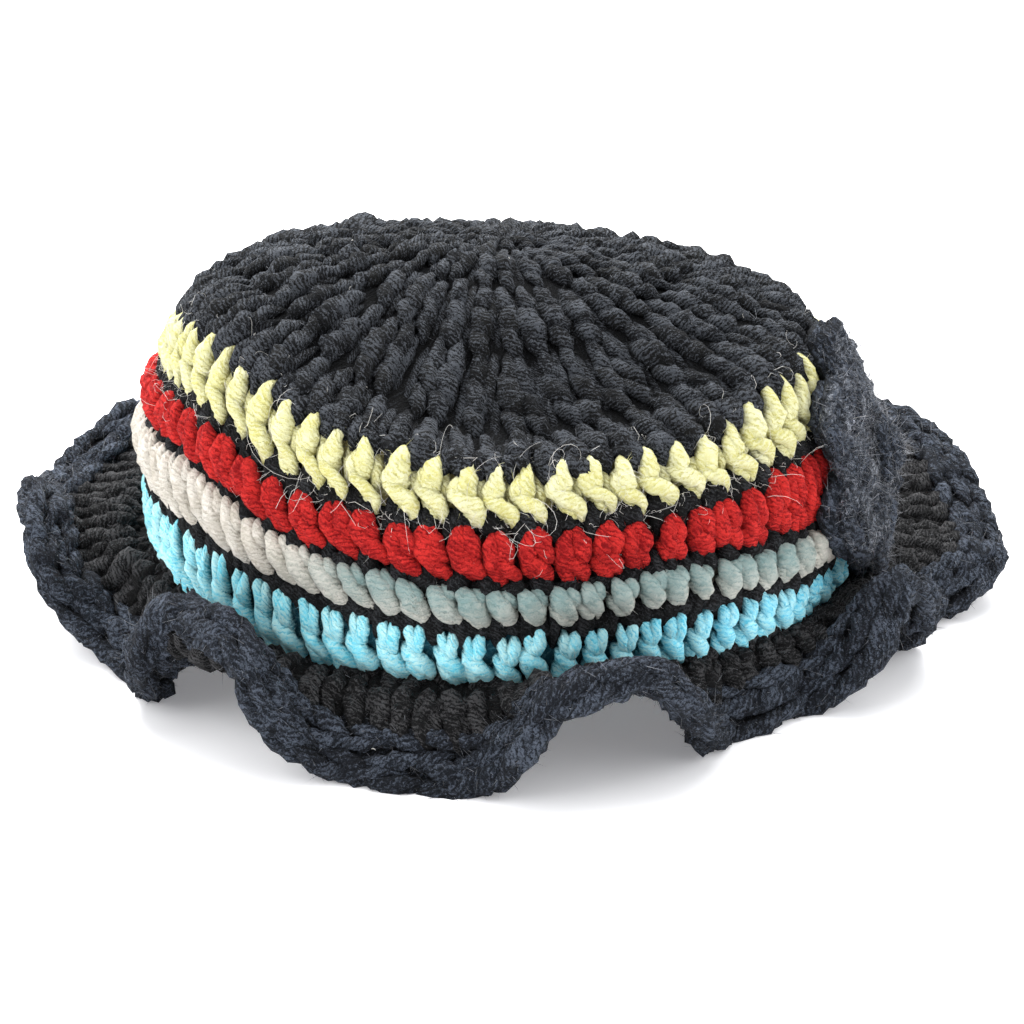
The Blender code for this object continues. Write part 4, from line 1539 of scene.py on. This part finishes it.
@dataclass
class Border(Piece):
    """The thick, fuzzy border: chains of leaning loops along a rounded core."""

    pitch: float = 0.0080
    core_columns: int = 480

    # Chains of the border: place across its width, height off its middle as a share of
    # its thickness, half spread of the chain's two legs, leg radius in millimetres
    chains: tuple[Row, ...] = (
        (0.36, 0.21, 0.15, 1.9),
        (0.72, 0.22, 0.15, 1.9),
        (0.90, 0.00, 0.15, 1.9),
        (0.60, -0.22, 0.17, 2.0),
        (0.20, -0.19, 0.16, 1.9),
    )
    core_section: tuple[Row, ...] = (
        (0.02, 0.10), (0.25, 0.17), (0.60, 0.19), (0.82, 0.14), (0.88, 0.04),
        (0.87, -0.08), (0.78, -0.16), (0.45, -0.18), (0.15, -0.15), (0.02, -0.08),
    )

    # The way of a leg: along the border in loops, in from the chain's side, off the
    # border and radius, the last three as shares
    leg_rows: tuple[Row, ...] = (
        (-0.75, 1.10, -0.35, 0.45), (-0.35, 1.00, 0.10, 0.95), (0.05, 0.75, 0.25, 1.10),
        (0.40, 0.40, 0.10, 0.95), (0.72, 0.10, -0.35, 0.45),
    )
    leg_steps: int = 8

    LUMPS = 0.26

    # The core's UV steps along the border, in millimetres, and round it, in turns, and
    # how deep it counts, which paints shade on it
    CORE_UV = (2.0, 1.0 / 3.0)
    CORE_PROUD = 0.25

    def leg(self, core: BorderCore, chain: Row, side: float, seed: int) -> Strands:
        """One leg of each loop of a chain: a long oval that starts at the chain's side
        and runs forward and in to its middle, over the start of the next one. On the
        border's edge the two sides lie one above the other.

        Args:
            core: The border's frame.
            chain: One row of the chains.
            side: +1 for the outer leg, -1 for the inner.
            seed: Seed of the random draws.

        Returns:
            The legs as strands.
        """
        rng = np.random.default_rng(seed)
        across, rise, spread, radius = chain
        count = round(core.length / self.pitch)
        ahead, aside, off, thickness = through(np.array(self.leg_rows), self.leg_steps).T[:, None]
        offset = rng.normal(0.0, 1.0, (count, 4))
        part = (np.arange(count)[:, None] + ahead + 0.18 * offset[:, :1]) / count
        if abs(rise) < 0.1:
            across = across + 0.05 * off + 0.025 * offset[:, 1:2]
            rises = rise + side * spread * 1.3 * aside + 0.03 * offset[:, 2:3]
        else:
            across = across + side * spread * aside + 0.040 * offset[:, 1:2]
            rises = rise + 0.10 * math.copysign(1.0, rise) * off + 0.045 * offset[:, 2:3]
        radii = radius * MM * thickness * (1.0 + 0.16 * offset[:, 3:4])
        point, outward = core.at(part, across, rises)
        every = np.ones_like(part)
        # Painted shade: the thin ends of each leg, where it tucks under the next, count as deep
        return Strands(point, radii, outward, rng.random(count),
                       np.clip(thickness * 0.75 * every, 0.0, 1.0),
                       0.8 * rng.random((count, 1)) * every, 6 if rise < -0.1 else 8)

    def core_patch(self, core: BorderCore) -> Patch:
        """A closed tube along the border, of a rounded section whose rows give the place
        across the width and the height as a share of the thickness.

        Args:
            core: The border's frame.

        Returns:
            The tube.
        """
        columns, count = self.core_columns, len(self.core_section)
        part, corner = np.meshgrid(np.arange(columns) / columns, np.arange(count), indexing="ij")
        section = np.array(self.core_section)[corner]
        points, _ = core.at(part, section[..., 0], section[..., 1])
        quads, column, row = grid_faces(columns, count)
        uv = np.stack((column * self.CORE_UV[0], row * self.CORE_UV[1]), axis=-1)
        flat = np.zeros(columns * count)
        return Patch(over_floor(points).reshape(-1, 3), np.zeros((0, 3), int), quads, uv,
                     flat, flat + self.CORE_PROUD, flat)

    def build(self) -> list[Strands]:
        """Builds the border.

        Returns:
            Its strands, for hairs to grow on.
        """
        core = BorderCore(self.wall)
        legs = [(chain, side) for chain in self.chains for side in (-1.0, 1.0)]
        yarn = [self.leg(core, chain, side, seed) for seed, (chain, side) in enumerate(legs, 71)]
        return self.crochet(yarn, self.core_patch(core), NAVY)


@dataclass
class Flower(Piece):
    """The crocheted flower on the side: six petals, each two loops of yarn round a few
    radial strands, and a coiled centre."""

    azimuth: float = -15.0
    height_share: float = 0.55
    radius: float = 0.0300
    lean: float = 0.09
    petals: int = 6

    # The rings of the lens behind the petals and of the haze round them: share of the
    # outline, and height off the hat in millimetres
    base_rows: tuple[Row, ...] = (
        (0.14, 3.4), (0.5, 4.4), (0.8, 4.6), (0.97, 3.6), (0.97, 2.4), (0.7, 0.6), (0.14, 0.3),
    )
    haze_rows: tuple[Row, ...] = (
        (0.16, 8.0), (0.5, 7.9), (0.75, 8.4), (0.93, 8.0), (1.00, 6.2), (1.00, 3.6), (0.90, 1.4),
        (0.6, 0.6), (0.14, 0.5),
    )
    base_margin: float = 0.0025
    haze_margin: float = -0.0006
    lens_sides: int = 72

    # A petal's outer and inner loop, and the places of the strands up it: share of the
    # flower's radius, share of the petal's half width, height and radius in millimetres
    loop_rows: tuple[tuple[Row, ...], ...] = (
        ((0.22, -0.30, 2.2, 1.5), (0.58, -0.92, 4.2, 2.1), (0.86, -0.78, 5.0, 2.3),
         (0.97, -0.34, 5.4, 2.4), (0.99, 0.10, 5.4, 2.4), (0.95, 0.52, 5.2, 2.4),
         (0.80, 0.88, 4.6, 2.2), (0.52, 0.85, 3.8, 2.0), (0.22, 0.30, 2.2, 1.5)),
        ((0.26, -0.24, 1.6, 1.4), (0.60, -0.80, 2.0, 2.0), (0.84, -0.66, 1.8, 2.2),
         (0.95, -0.26, 1.6, 2.3), (0.97, 0.14, 1.6, 2.3), (0.92, 0.48, 1.8, 2.3),
         (0.76, 0.78, 2.0, 2.1), (0.54, 0.74, 2.0, 1.9), (0.26, 0.24, 1.6, 1.4)),
    )
    strand_places: tuple[float, ...] = (-0.68, -0.40, -0.12, 0.16, 0.44, 0.70)

    LUMPS = 0.32
    GRAIN = 0.12
    COIL_LUMPS = 0.22
    COIL_GRAIN = 0.07

    # The lens's UV steps from ring to ring, in millimetres, and round it, in turns, and
    # how deep it counts, which paints shade on it between the petals
    LENS_UV = (3.0, 1.0 / 6.0)
    LENS_PROUD = 0.3

    def middle_height(self) -> float:
        """Puts the flower's middle between the brim's seam and the crown's edge.

        Returns:
            Its height.
        """
        shape, at = self.wall.shape, np.array([self.azimuth])
        low = shape.seam_height + shape.lift(Seam.BRIM, at)[0]
        top = shape.edge_height() + shape.lift(Seam.CROWN_EDGE, at)[0]
        return float(low + (top - low) * self.height_share)

    def side_radius(self, azimuth: np.ndarray, height: np.ndarray) -> np.ndarray:
        """Reads the radius of the banded side off the wall.

        Args:
            azimuth: Azimuths in degrees.
            height: Heights there.

        Returns:
            The radii.
        """
        wall = self.wall
        column = np.round((azimuth + 180.0) / 360.0 * wall.COLUMNS).astype(int) % wall.COLUMNS
        lines = wall.points[:, wall.row["crown"][1]:wall.row["brim"][0] + 1] - wall.axis
        radii = np.linalg.norm(lines[..., :2], axis=-1)
        flat = [np.interp(h, lines[c, ::-1, 2], radii[c, ::-1])
                for c, h in zip(column.ravel(), height.ravel())]
        return np.array(flat).reshape(azimuth.shape)

    def at(self, out: np.ndarray, turn: np.ndarray,
           lift: np.ndarray) -> tuple[np.ndarray, np.ndarray]:
        """Places on the flower: the plane of the petals wraps round the side of the hat.

        Args:
            out: Distance from the flower's middle.
            turn: Direction there, in radians.
            lift: Distance off the hat.

        Returns:
            Points, and the way out of the hat.
        """
        shape = self.wall.shape
        azimuth = self.azimuth + np.degrees(out * np.cos(turn) / shape.head_radius)
        height = self.middle_height() + out * np.sin(turn)
        radius = self.side_radius(azimuth, height) + shape.band_puff
        return polar(azimuth, radius + lift, height) + self.wall.axis, polar(azimuth, 1.0, 0.0)

    def petal_strands(self) -> list[Strands]:
        """Lays loops round each petal and strands up it.

        Returns:
            A set of strands for each loop and each strand, over all petals.
        """
        rng = np.random.default_rng(91)
        width = math.pi / self.petals
        centre_turn = (np.arange(self.petals)[:, None] + 0.5) * 2.0 * width
        ways = [(rows, 26) for rows in self.loop_rows]
        ways += [(((0.14, 0.6 * place, 2.8, 1.2), (0.40, 0.95 * place, 4.8, 1.9),
                   (0.68, place, 5.4, 2.1), (0.92, 0.9 * place, 5.0, 1.4)), 9)
                 for place in self.strand_places]
        found = []
        for rows, steps in ways:
            reach, aside, rise, radius = through(np.array(rows), steps).T[:, None]
            wobble = rng.normal(0.0, 1.0, (self.petals, 4))
            out = self.radius * reach * (1.0 + 0.04 * wobble[:, :1]) - 1.5 * MM * (reach > 0.5)
            turn = centre_turn + width * aside + 0.05 * wobble[:, 1:2]
            below = self.lean * np.maximum(out * np.sin(turn), 0.0)
            point, outward = self.at(out, turn, (rise + 0.5 * wobble[:, 2:3]) * MM - below)
            every = np.ones_like(out)
            radii = radius * MM * (1.0 + 0.12 * wobble[:, 3:4]) * every
            found.append(Strands(point, radii, outward, rng.random(self.petals), 0.8 * every,
                                 rng.random((self.petals, 1)) * every))
        return found

    def centre_strands(self, turns: float = 2.6, steps: int = 70) -> list[Strands]:
        """Lays a coil that winds in and up to a button, and thins out at its two ends.

        Args:
            turns: How many times it goes round.
            steps: Points along it.

        Returns:
            The coil.
        """
        t = np.linspace(0.0, 1.0, steps)[None]
        out = (7.4 - 6.6 * t) * MM
        lift = (7.2 + 3.0 * np.sin(t * np.pi * 0.5)) * MM
        point, outward = self.at(out, t * 2.0 * np.pi * turns, lift)
        radii = 1.9 * MM * np.clip(np.minimum(t * 12.0, (1.0 - t) * 12.0) + 0.3, 0.3, 1.0)
        return [Strands(point, radii, outward, np.array([0.4]), np.full_like(out, 0.85),
                        np.zeros_like(out))]

    def lens_patch(self, rows: tuple[Row, ...], margin: float) -> Patch:
        """A closed lens with the flower's outline: rings that meet at a point on either
        side.

        Args:
            rows: Each ring's share of the outline and its height off the hat, in
                millimetres.
            margin: How far the outline lies inside the petals' edge.

        Returns:
            The lens.
        """
        turn = np.arange(self.lens_sides)[:, None] * 2.0 * np.pi / self.lens_sides
        lobes = np.abs(np.sin(0.5 * self.petals * turn)) ** 0.70
        share, lift = np.array(rows).T
        out = (self.radius - margin) * (0.80 + 0.20 * lobes) * share
        turn, lift = np.broadcast_arrays(turn, lift * MM)[:2]
        grid, _ = self.at(out, turn, lift)
        points = np.concatenate((grid.reshape(-1, 3), grid[:, (0, -1)].mean(axis=0)))
        quads, column, row = grid_faces(*grid.shape[:2], rings=False)
        uv = np.stack((row * self.LENS_UV[0], column * self.LENS_UV[1]), axis=-1)
        flat = np.zeros(len(points))
        return Patch(points, end_fans(*grid.shape[:2]), quads, uv, flat,
                     flat + self.LENS_PROUD, flat)

    def build(self) -> list[Strands]:
        """Builds the flower and its centre.

        Returns:
            Their strands, for hairs to grow on.
        """
        base = self.lens_patch(self.base_rows, self.base_margin)
        haze = self.lens_patch(self.haze_rows, self.haze_margin)
        petals = self.crochet(self.petal_strands(), base, NAVY, "petals")
        self.place("side_flower_fluff", [haze], FLOWER_FLUFF, False)
        centre = self.centre_strands()
        button = Piece(self.wall, "flower_centre", self.slot)
        coils = [coil.tubes(self.COIL_LUMPS, self.COIL_GRAIN) for coil in centre]
        button.place("flower_centre_coil", coils, NAVY)
        return petals + centre


# The strands of one stitch of each coloured band

YELLOW_PATHS = (
    StrandPath(((0.06, -0.09, -1.0, 0.35), (0.03, 0.06, -0.2, 1.15), (0.00, 0.26, 0.3, 2.0),
                (0.00, 0.46, 0.2, 2.4), (0.04, 0.66, -1.0, 1.9))),
    StrandPath(((-0.14, 0.26, -1.0, 0.8), (-0.24, 0.40, 0.1, 1.5), (-0.26, 0.56, 0.2, 1.7),
                (-0.14, 0.70, -1.2, 1.2)), 9),
    StrandPath(((-0.46, 0.50, -1.3, 0.9), (-0.26, 0.62, 0.3, 1.5), (0.04, 0.72, 1.1, 1.8),
                (0.34, 0.81, 1.0, 1.8), (0.50, 0.92, 0.3, 1.6), (0.52, 1.06, -0.8, 0.9))),
    StrandPath(((0.34, 0.24, -2.0, 0.8), (0.42, 0.42, -1.4, 1.4), (0.46, 0.60, -1.1, 1.6),
                (0.42, 0.78, -1.5, 1.1)), 8, 7),
    StrandPath(((-0.10, 0.76, -1.6, 1.0), (0.10, 0.86, -0.6, 1.5), (0.30, 0.97, -0.5, 1.4),
                (0.42, 1.04, -1.2, 0.7)), 8, 7),
)
RED_PATHS = (
    StrandPath(((0.00, -0.07, -1.1, 0.6), (-0.10, 0.10, 0.0, 1.6), (-0.20, 0.34, 0.4, 2.2),
                (-0.21, 0.58, 0.3, 2.4), (-0.08, 0.84, -0.4, 2.1), (0.08, 0.99, -1.5, 0.9))),
    StrandPath(((0.06, -0.07, -1.2, 0.6), (0.10, 0.08, 0.1, 1.6), (0.17, 0.30, 0.6, 2.1),
                (0.21, 0.54, 0.3, 2.1), (0.22, 0.78, -1.2, 1.3)), 10),
    StrandPath(((-0.28, 0.50, -0.9, 1.0), (-0.14, 0.61, 0.7, 1.5), (0.06, 0.73, 1.2, 1.7),
                (0.26, 0.87, 0.7, 1.9), (0.38, 1.02, -0.9, 1.1))),
    StrandPath(((-0.38, 0.64, -1.5, 1.1), (-0.27, 0.80, -0.2, 1.7), (-0.06, 0.94, -0.3, 1.7),
                (0.14, 1.04, -1.3, 0.8)), 8, 7),
)
CREAM_PATHS = (
    StrandPath(((-0.26, -0.05, -1.1, 0.8), (-0.20, 0.14, 0.2, 2.0), (-0.08, 0.38, 0.7, 2.5),
                (0.08, 0.62, 0.5, 2.3), (0.22, 0.86, -0.1, 1.7), (0.28, 1.08, -0.9, 0.8))),
    StrandPath(((0.18, -0.05, -1.2, 0.7), (0.22, 0.10, 0.0, 1.6), (0.28, 0.28, 0.0, 1.8),
                (0.32, 0.48, -1.0, 1.2)), 8),
    StrandPath(((-0.44, 0.44, -1.4, 0.9), (-0.28, 0.60, -0.1, 1.6), (-0.06, 0.80, 0.3, 1.8),
                (0.12, 0.94, -0.3, 1.5), (0.22, 1.03, -1.3, 0.8)), 10),
)
TURQUOISE_PATHS = (
    StrandPath(((0.22, -0.04, -1.0, 0.6), (0.20, 0.10, 0.2, 1.35), (0.15, 0.26, 0.6, 1.6),
                (0.05, 0.44, 0.2, 1.6), (0.00, 0.60, -1.0, 1.2)), 10),
    StrandPath(((-0.20, -0.02, -1.1, 0.6), (-0.18, 0.12, 0.0, 1.3), (-0.13, 0.28, 0.4, 1.5),
                (-0.05, 0.46, 0.1, 1.5), (0.00, 0.60, -1.0, 1.2)), 10),
    StrandPath(((-0.38, 0.40, -1.0, 1.0), (-0.22, 0.52, 0.5, 1.7), (0.00, 0.64, 1.1, 2.0),
                (0.20, 0.78, 0.8, 2.0), (0.34, 0.92, 0.0, 1.7), (0.40, 1.06, -1.1, 0.8))),
    StrandPath(((-0.32, 0.64, -1.2, 1.1), (-0.20, 0.80, 0.1, 1.8), (0.00, 0.95, 0.1, 1.9),
                (0.14, 1.07, -1.2, 0.9)), 9, 7),
)


def ramp(azimuth: np.ndarray, start: float, end: float) -> np.ndarray:
    """0 up to one azimuth, 1 from another on, and a straight line between them, where
    the second may also lie before the first."""
    return np.clip((wrapped(azimuth) - start) / (end - start), 0.0, 1.0)


def eased(share: np.ndarray) -> np.ndarray:
    """A share from 0 to 1 that starts and ends gently."""
    return share * share * (3 - 2 * share)


def left_side(azimuth: np.ndarray) -> np.ndarray:
    """How far a place is on the left side of the hat, from 0 at the front and the right
    to 1."""
    return np.where(wrapped(azimuth) < 0.0, eased(ramp(azimuth, -78.0, -118.0)),
                    1.0 - ramp(azimuth, 150.0, 90.0))


def cream_shade(azimuth: np.ndarray) -> np.ndarray:
    """Share of grey-blue in the cream yarn, highest at the front right and none behind;
    it is partly the yarn's own variegated colour and partly painted shade, as it also dims
    the yarn's light colour.
    """
    return eased(ramp(azimuth, -130.0, -108.0)) * eased(ramp(azimuth, -26.0, -42.0))


def turquoise_shade(azimuth: np.ndarray) -> np.ndarray:
    """How far the turquoise's colour goes to its second, deeper and darker blue, to the right
    of the front.
    """
    return ramp(azimuth, -95.0, -55.0) * ramp(azimuth, 100.0, 40.0)


@dataclass(frozen=True)
class Lamp:
    """A square soft lamp that faces the middle of the floor."""

    name: str
    place: tuple[float, float, float]
    size: float
    power: float


@dataclass
class Studio:
    """Pale floor, soft white light and the camera."""

    elevation: float = 20.0
    reach: float = 0.600
    aim_height: float = 0.0316
    focal_pixels: float = 2383.0
    image: float = 1024.0
    aim_pixel: tuple[float, float] = (501.0, 492.0)
    sensor: float = 36.0
    floor_reach: float = 8.0
    # Painted light: how brightly the floor glows, which lightens the shadows on it
    painted_floor_light: float = 0.20
    sky_strength: float = 0.49
    lamps: tuple[Lamp, ...] = (
        Lamp("top_lamp", (0.00, 0.50, 1.1), 1.5, 29.0),
        Lamp("back_lamp", (-0.3, 1.50, 1.2), 1.8, 78.0),
        Lamp("left_lamp", (-0.9, -0.4, 0.8), 1.1, 12.0),
        Lamp("right_lamp", (0.9, -0.4, 0.7), 1.1, 8.0),
    )

    def camera(self, wall: Wall) -> None:
        """Sets the camera at the photograph's angle, aimed at the hat's axis."""
        data = bpy.data.cameras.new("camera")
        data.sensor_width = self.sensor
        data.lens = self.focal_pixels / self.image * self.sensor
        data.shift_x = (0.5 * self.image - self.aim_pixel[0]) / self.image
        data.shift_y = (self.aim_pixel[1] - 0.5 * self.image) / self.image
        camera = bpy.data.objects.new("camera", data)
        tilt = math.radians(self.elevation)
        camera.location = (wall.axis[0], wall.axis[1] - self.reach * math.cos(tilt),
                           self.aim_height + self.reach * math.sin(tilt))
        camera.rotation_euler = (math.pi / 2 - tilt, 0.0, 0.0)
        bpy.context.scene.collection.objects.link(camera)
        bpy.context.scene.camera = camera

    def floor(self) -> None:
        """A wide pale floor that glows a little: painted light that lightens the shadows on it
        and lights the hat from below.
        """
        corners = [(x * self.floor_reach, y * self.floor_reach, 0.0)
                   for x, y in ((-1, -1), (1, -1), (1, 1), (-1, 1))]
        mesh = bpy.data.meshes.new("floor")
        mesh.from_pydata(corners, [], [(0, 1, 2, 3)])
        mesh.materials.append(Shading("pale_floor").surface(
            Base_Color=(0.93, 0.93, 0.94, 1.0), Roughness=0.7, Specular_IOR_Level=0.1,
            Emission_Color=(0.96, 0.96, 1.0, 1.0), Emission_Strength=self.painted_floor_light))
        floor = bpy.data.objects.new("floor", mesh)
        bpy.context.scene.collection.objects.link(floor)

    def light(self) -> None:
        """A white sky and four large soft lamps."""
        world = bpy.data.worlds.new("studio")
        world.use_nodes = True
        back = world.node_tree.nodes["Background"]
        back.inputs["Color"].default_value = (0.97, 0.98, 1.0, 1.0)
        back.inputs["Strength"].default_value = self.sky_strength
        bpy.context.scene.world = world
        for lamp in self.lamps:
            data = bpy.data.lights.new(lamp.name, "AREA")
            data.size, data.energy = lamp.size, lamp.power
            made = bpy.data.objects.new(lamp.name, data)
            made.location = lamp.place
            x, y, z = np.array(lamp.place) / np.linalg.norm(lamp.place)
            made.rotation_euler = (math.acos(z), 0.0, math.atan2(x, -y))
            bpy.context.scene.collection.objects.link(made)

    def build(self, wall: Wall) -> None:
        """Builds the whole studio."""
        self.camera(wall)
        self.floor()
        self.light()
        bpy.context.scene.view_settings.view_transform = "Standard"
        bpy.context.scene.view_settings.look = "None"


def build_hairs(wall: Wall, yarn: dict[str, list[Strands]]) -> None:
    """Grows the loose fibres of each yarn as pieces of their own.

    Args:
        wall: The wall of the hat.
        yarn: The strands of each piece, by its node.
    """
    coats = (
        ("border_fuzz", ["brim_border"], Slot.NAVY, DARK_HAIR,
         HairCoat(18500, (0.9, 2.9), 0.070, 1.6, 1, Coat.ALL_ROUND)),
        ("flower_fuzz", ["side_flower"], Slot.NAVY, SHEEN_PAINTED_HAIR,
         HairCoat(6500, (0.8, 3.0), 0.075, 1.6, 1)),
        ("crown_fuzz", ["crown"], Slot.CHARCOAL, DARK_HAIR,
         HairCoat(7500, (0.5, 1.6), 0.065, 1.6, 1)),
        ("brim_fuzz", ["brim"], Slot.CHARCOAL, DARK_HAIR,
         HairCoat(4000, (0.5, 1.6), 0.065, 1.6, 1)),
        ("yellow_fuzz", ["yellow_band"], Slot.YELLOW, YELLOW_HAIR,
         HairCoat(3500, (0.6, 1.6), 0.060, 1.2, 1)),
        ("red_fuzz", ["red_band"], Slot.RED, RED_HAIR,
         HairCoat(1500, (0.4, 1.1), 0.050, 1.2, 1)),
        ("cream_fuzz", ["cream_band"], Slot.CREAM, CREAM_HAIR,
         HairCoat(1000, (0.4, 1.1), 0.050, 1.2, 1)),
        ("turquoise_fuzz", ["turquoise_band"], Slot.TURQUOISE, TURQUOISE_HAIR,
         HairCoat(1000, (0.4, 1.1), 0.050, 1.2, 1)),
        ("white_fuzz", ["black_round_upper", "crown_edge"], Slot.YELLOW, WHITE_HAIR,
         HairCoat(2400, (1.9, 4.8), 0.056, 3.6, 4, lift=1.15)),
        ("white_hairs", ["yellow_band", "black_round_upper"], Slot.YELLOW, WHITE_HAIR,
         HairCoat(420, (5.0, 13.0), 0.046, 3.6, 10, lift=0.16)),
        ("lint", ["crown", "brim_border", "brim"], Slot.CHARCOAL, WHITE_HAIR,
         HairCoat(150, (0.5, 1.0), 0.16, 3.5, 3, lift=0.5)),
    )
    for seed, (name, nodes, slot, finish, coat) in enumerate(coats, 200):
        strands = [group for node in nodes for group in yarn[node]]
        Piece(wall, nodes[0], slot).place(name, [coat.patch(strands, seed)], finish, False)


def main() -> None:
    """Builds the studio, the hat's pieces in order and their hairs, and logs how many
    triangles each piece and all of the looks have."""
    logging.basicConfig(level=logging.INFO, format="%(message)s")
    wall = Wall(HatShape())
    Studio().build(wall)
    black = Slot.CHARCOAL
    pieces = (
        Crown(wall, "crown", black),
        Band(wall, "yellow_band", Slot.YELLOW, YELLOW, YELLOW_PATHS, 70, 21, 0.30),
        Band(wall, "red_band", Slot.RED, RED, RED_PATHS, 70, 22, 0.55, 0.55),
        Band(wall, "cream_band", Slot.CREAM, CREAM, CREAM_PATHS, 84, 23, 0.10, 0.65, cream_shade),
        Band(wall, "turquoise_band", Slot.TURQUOISE, TURQUOISE, TURQUOISE_PATHS, 84, 24, 0.20, 0.25,
             turquoise_shade),
        BlackRound(wall, "black_round_upper", black, Gaps(70, 0.21, 0.0030, 2.0),
                   Gaps(70, 1.11, 0.0042, 2.0), 31),
        BlackRound(wall, "black_round_middle", black, Gaps(70, 0.43, 0.0030, 1.9),
                   Gaps(84, 0.545, 0.0022, 1.3), 32),
        BlackRound(wall, "black_round_lower", black, Gaps(84, 0.92, 0.0036, 1.8),
                   Gaps(84, 0.74, 0.0048, 1.9), 33),
        Brim(wall, "brim", black),
        Border(wall, "brim_border", Slot.NAVY),
        Flower(wall, "side_flower", Slot.NAVY),
    )
    yarn = {piece.node: piece.build() for piece in pieces}
    yarn["crown_edge"] = yarn["crown"][-1:]
    build_hairs(wall, yarn)
    shown = [o.data for o in bpy.data.objects if o.type == "MESH" and not o.hide_render]
    LOG.info("all: %d triangles", sum(len(mesh.loop_triangles) for mesh in shown))


if __name__ == "__main__":
    main()
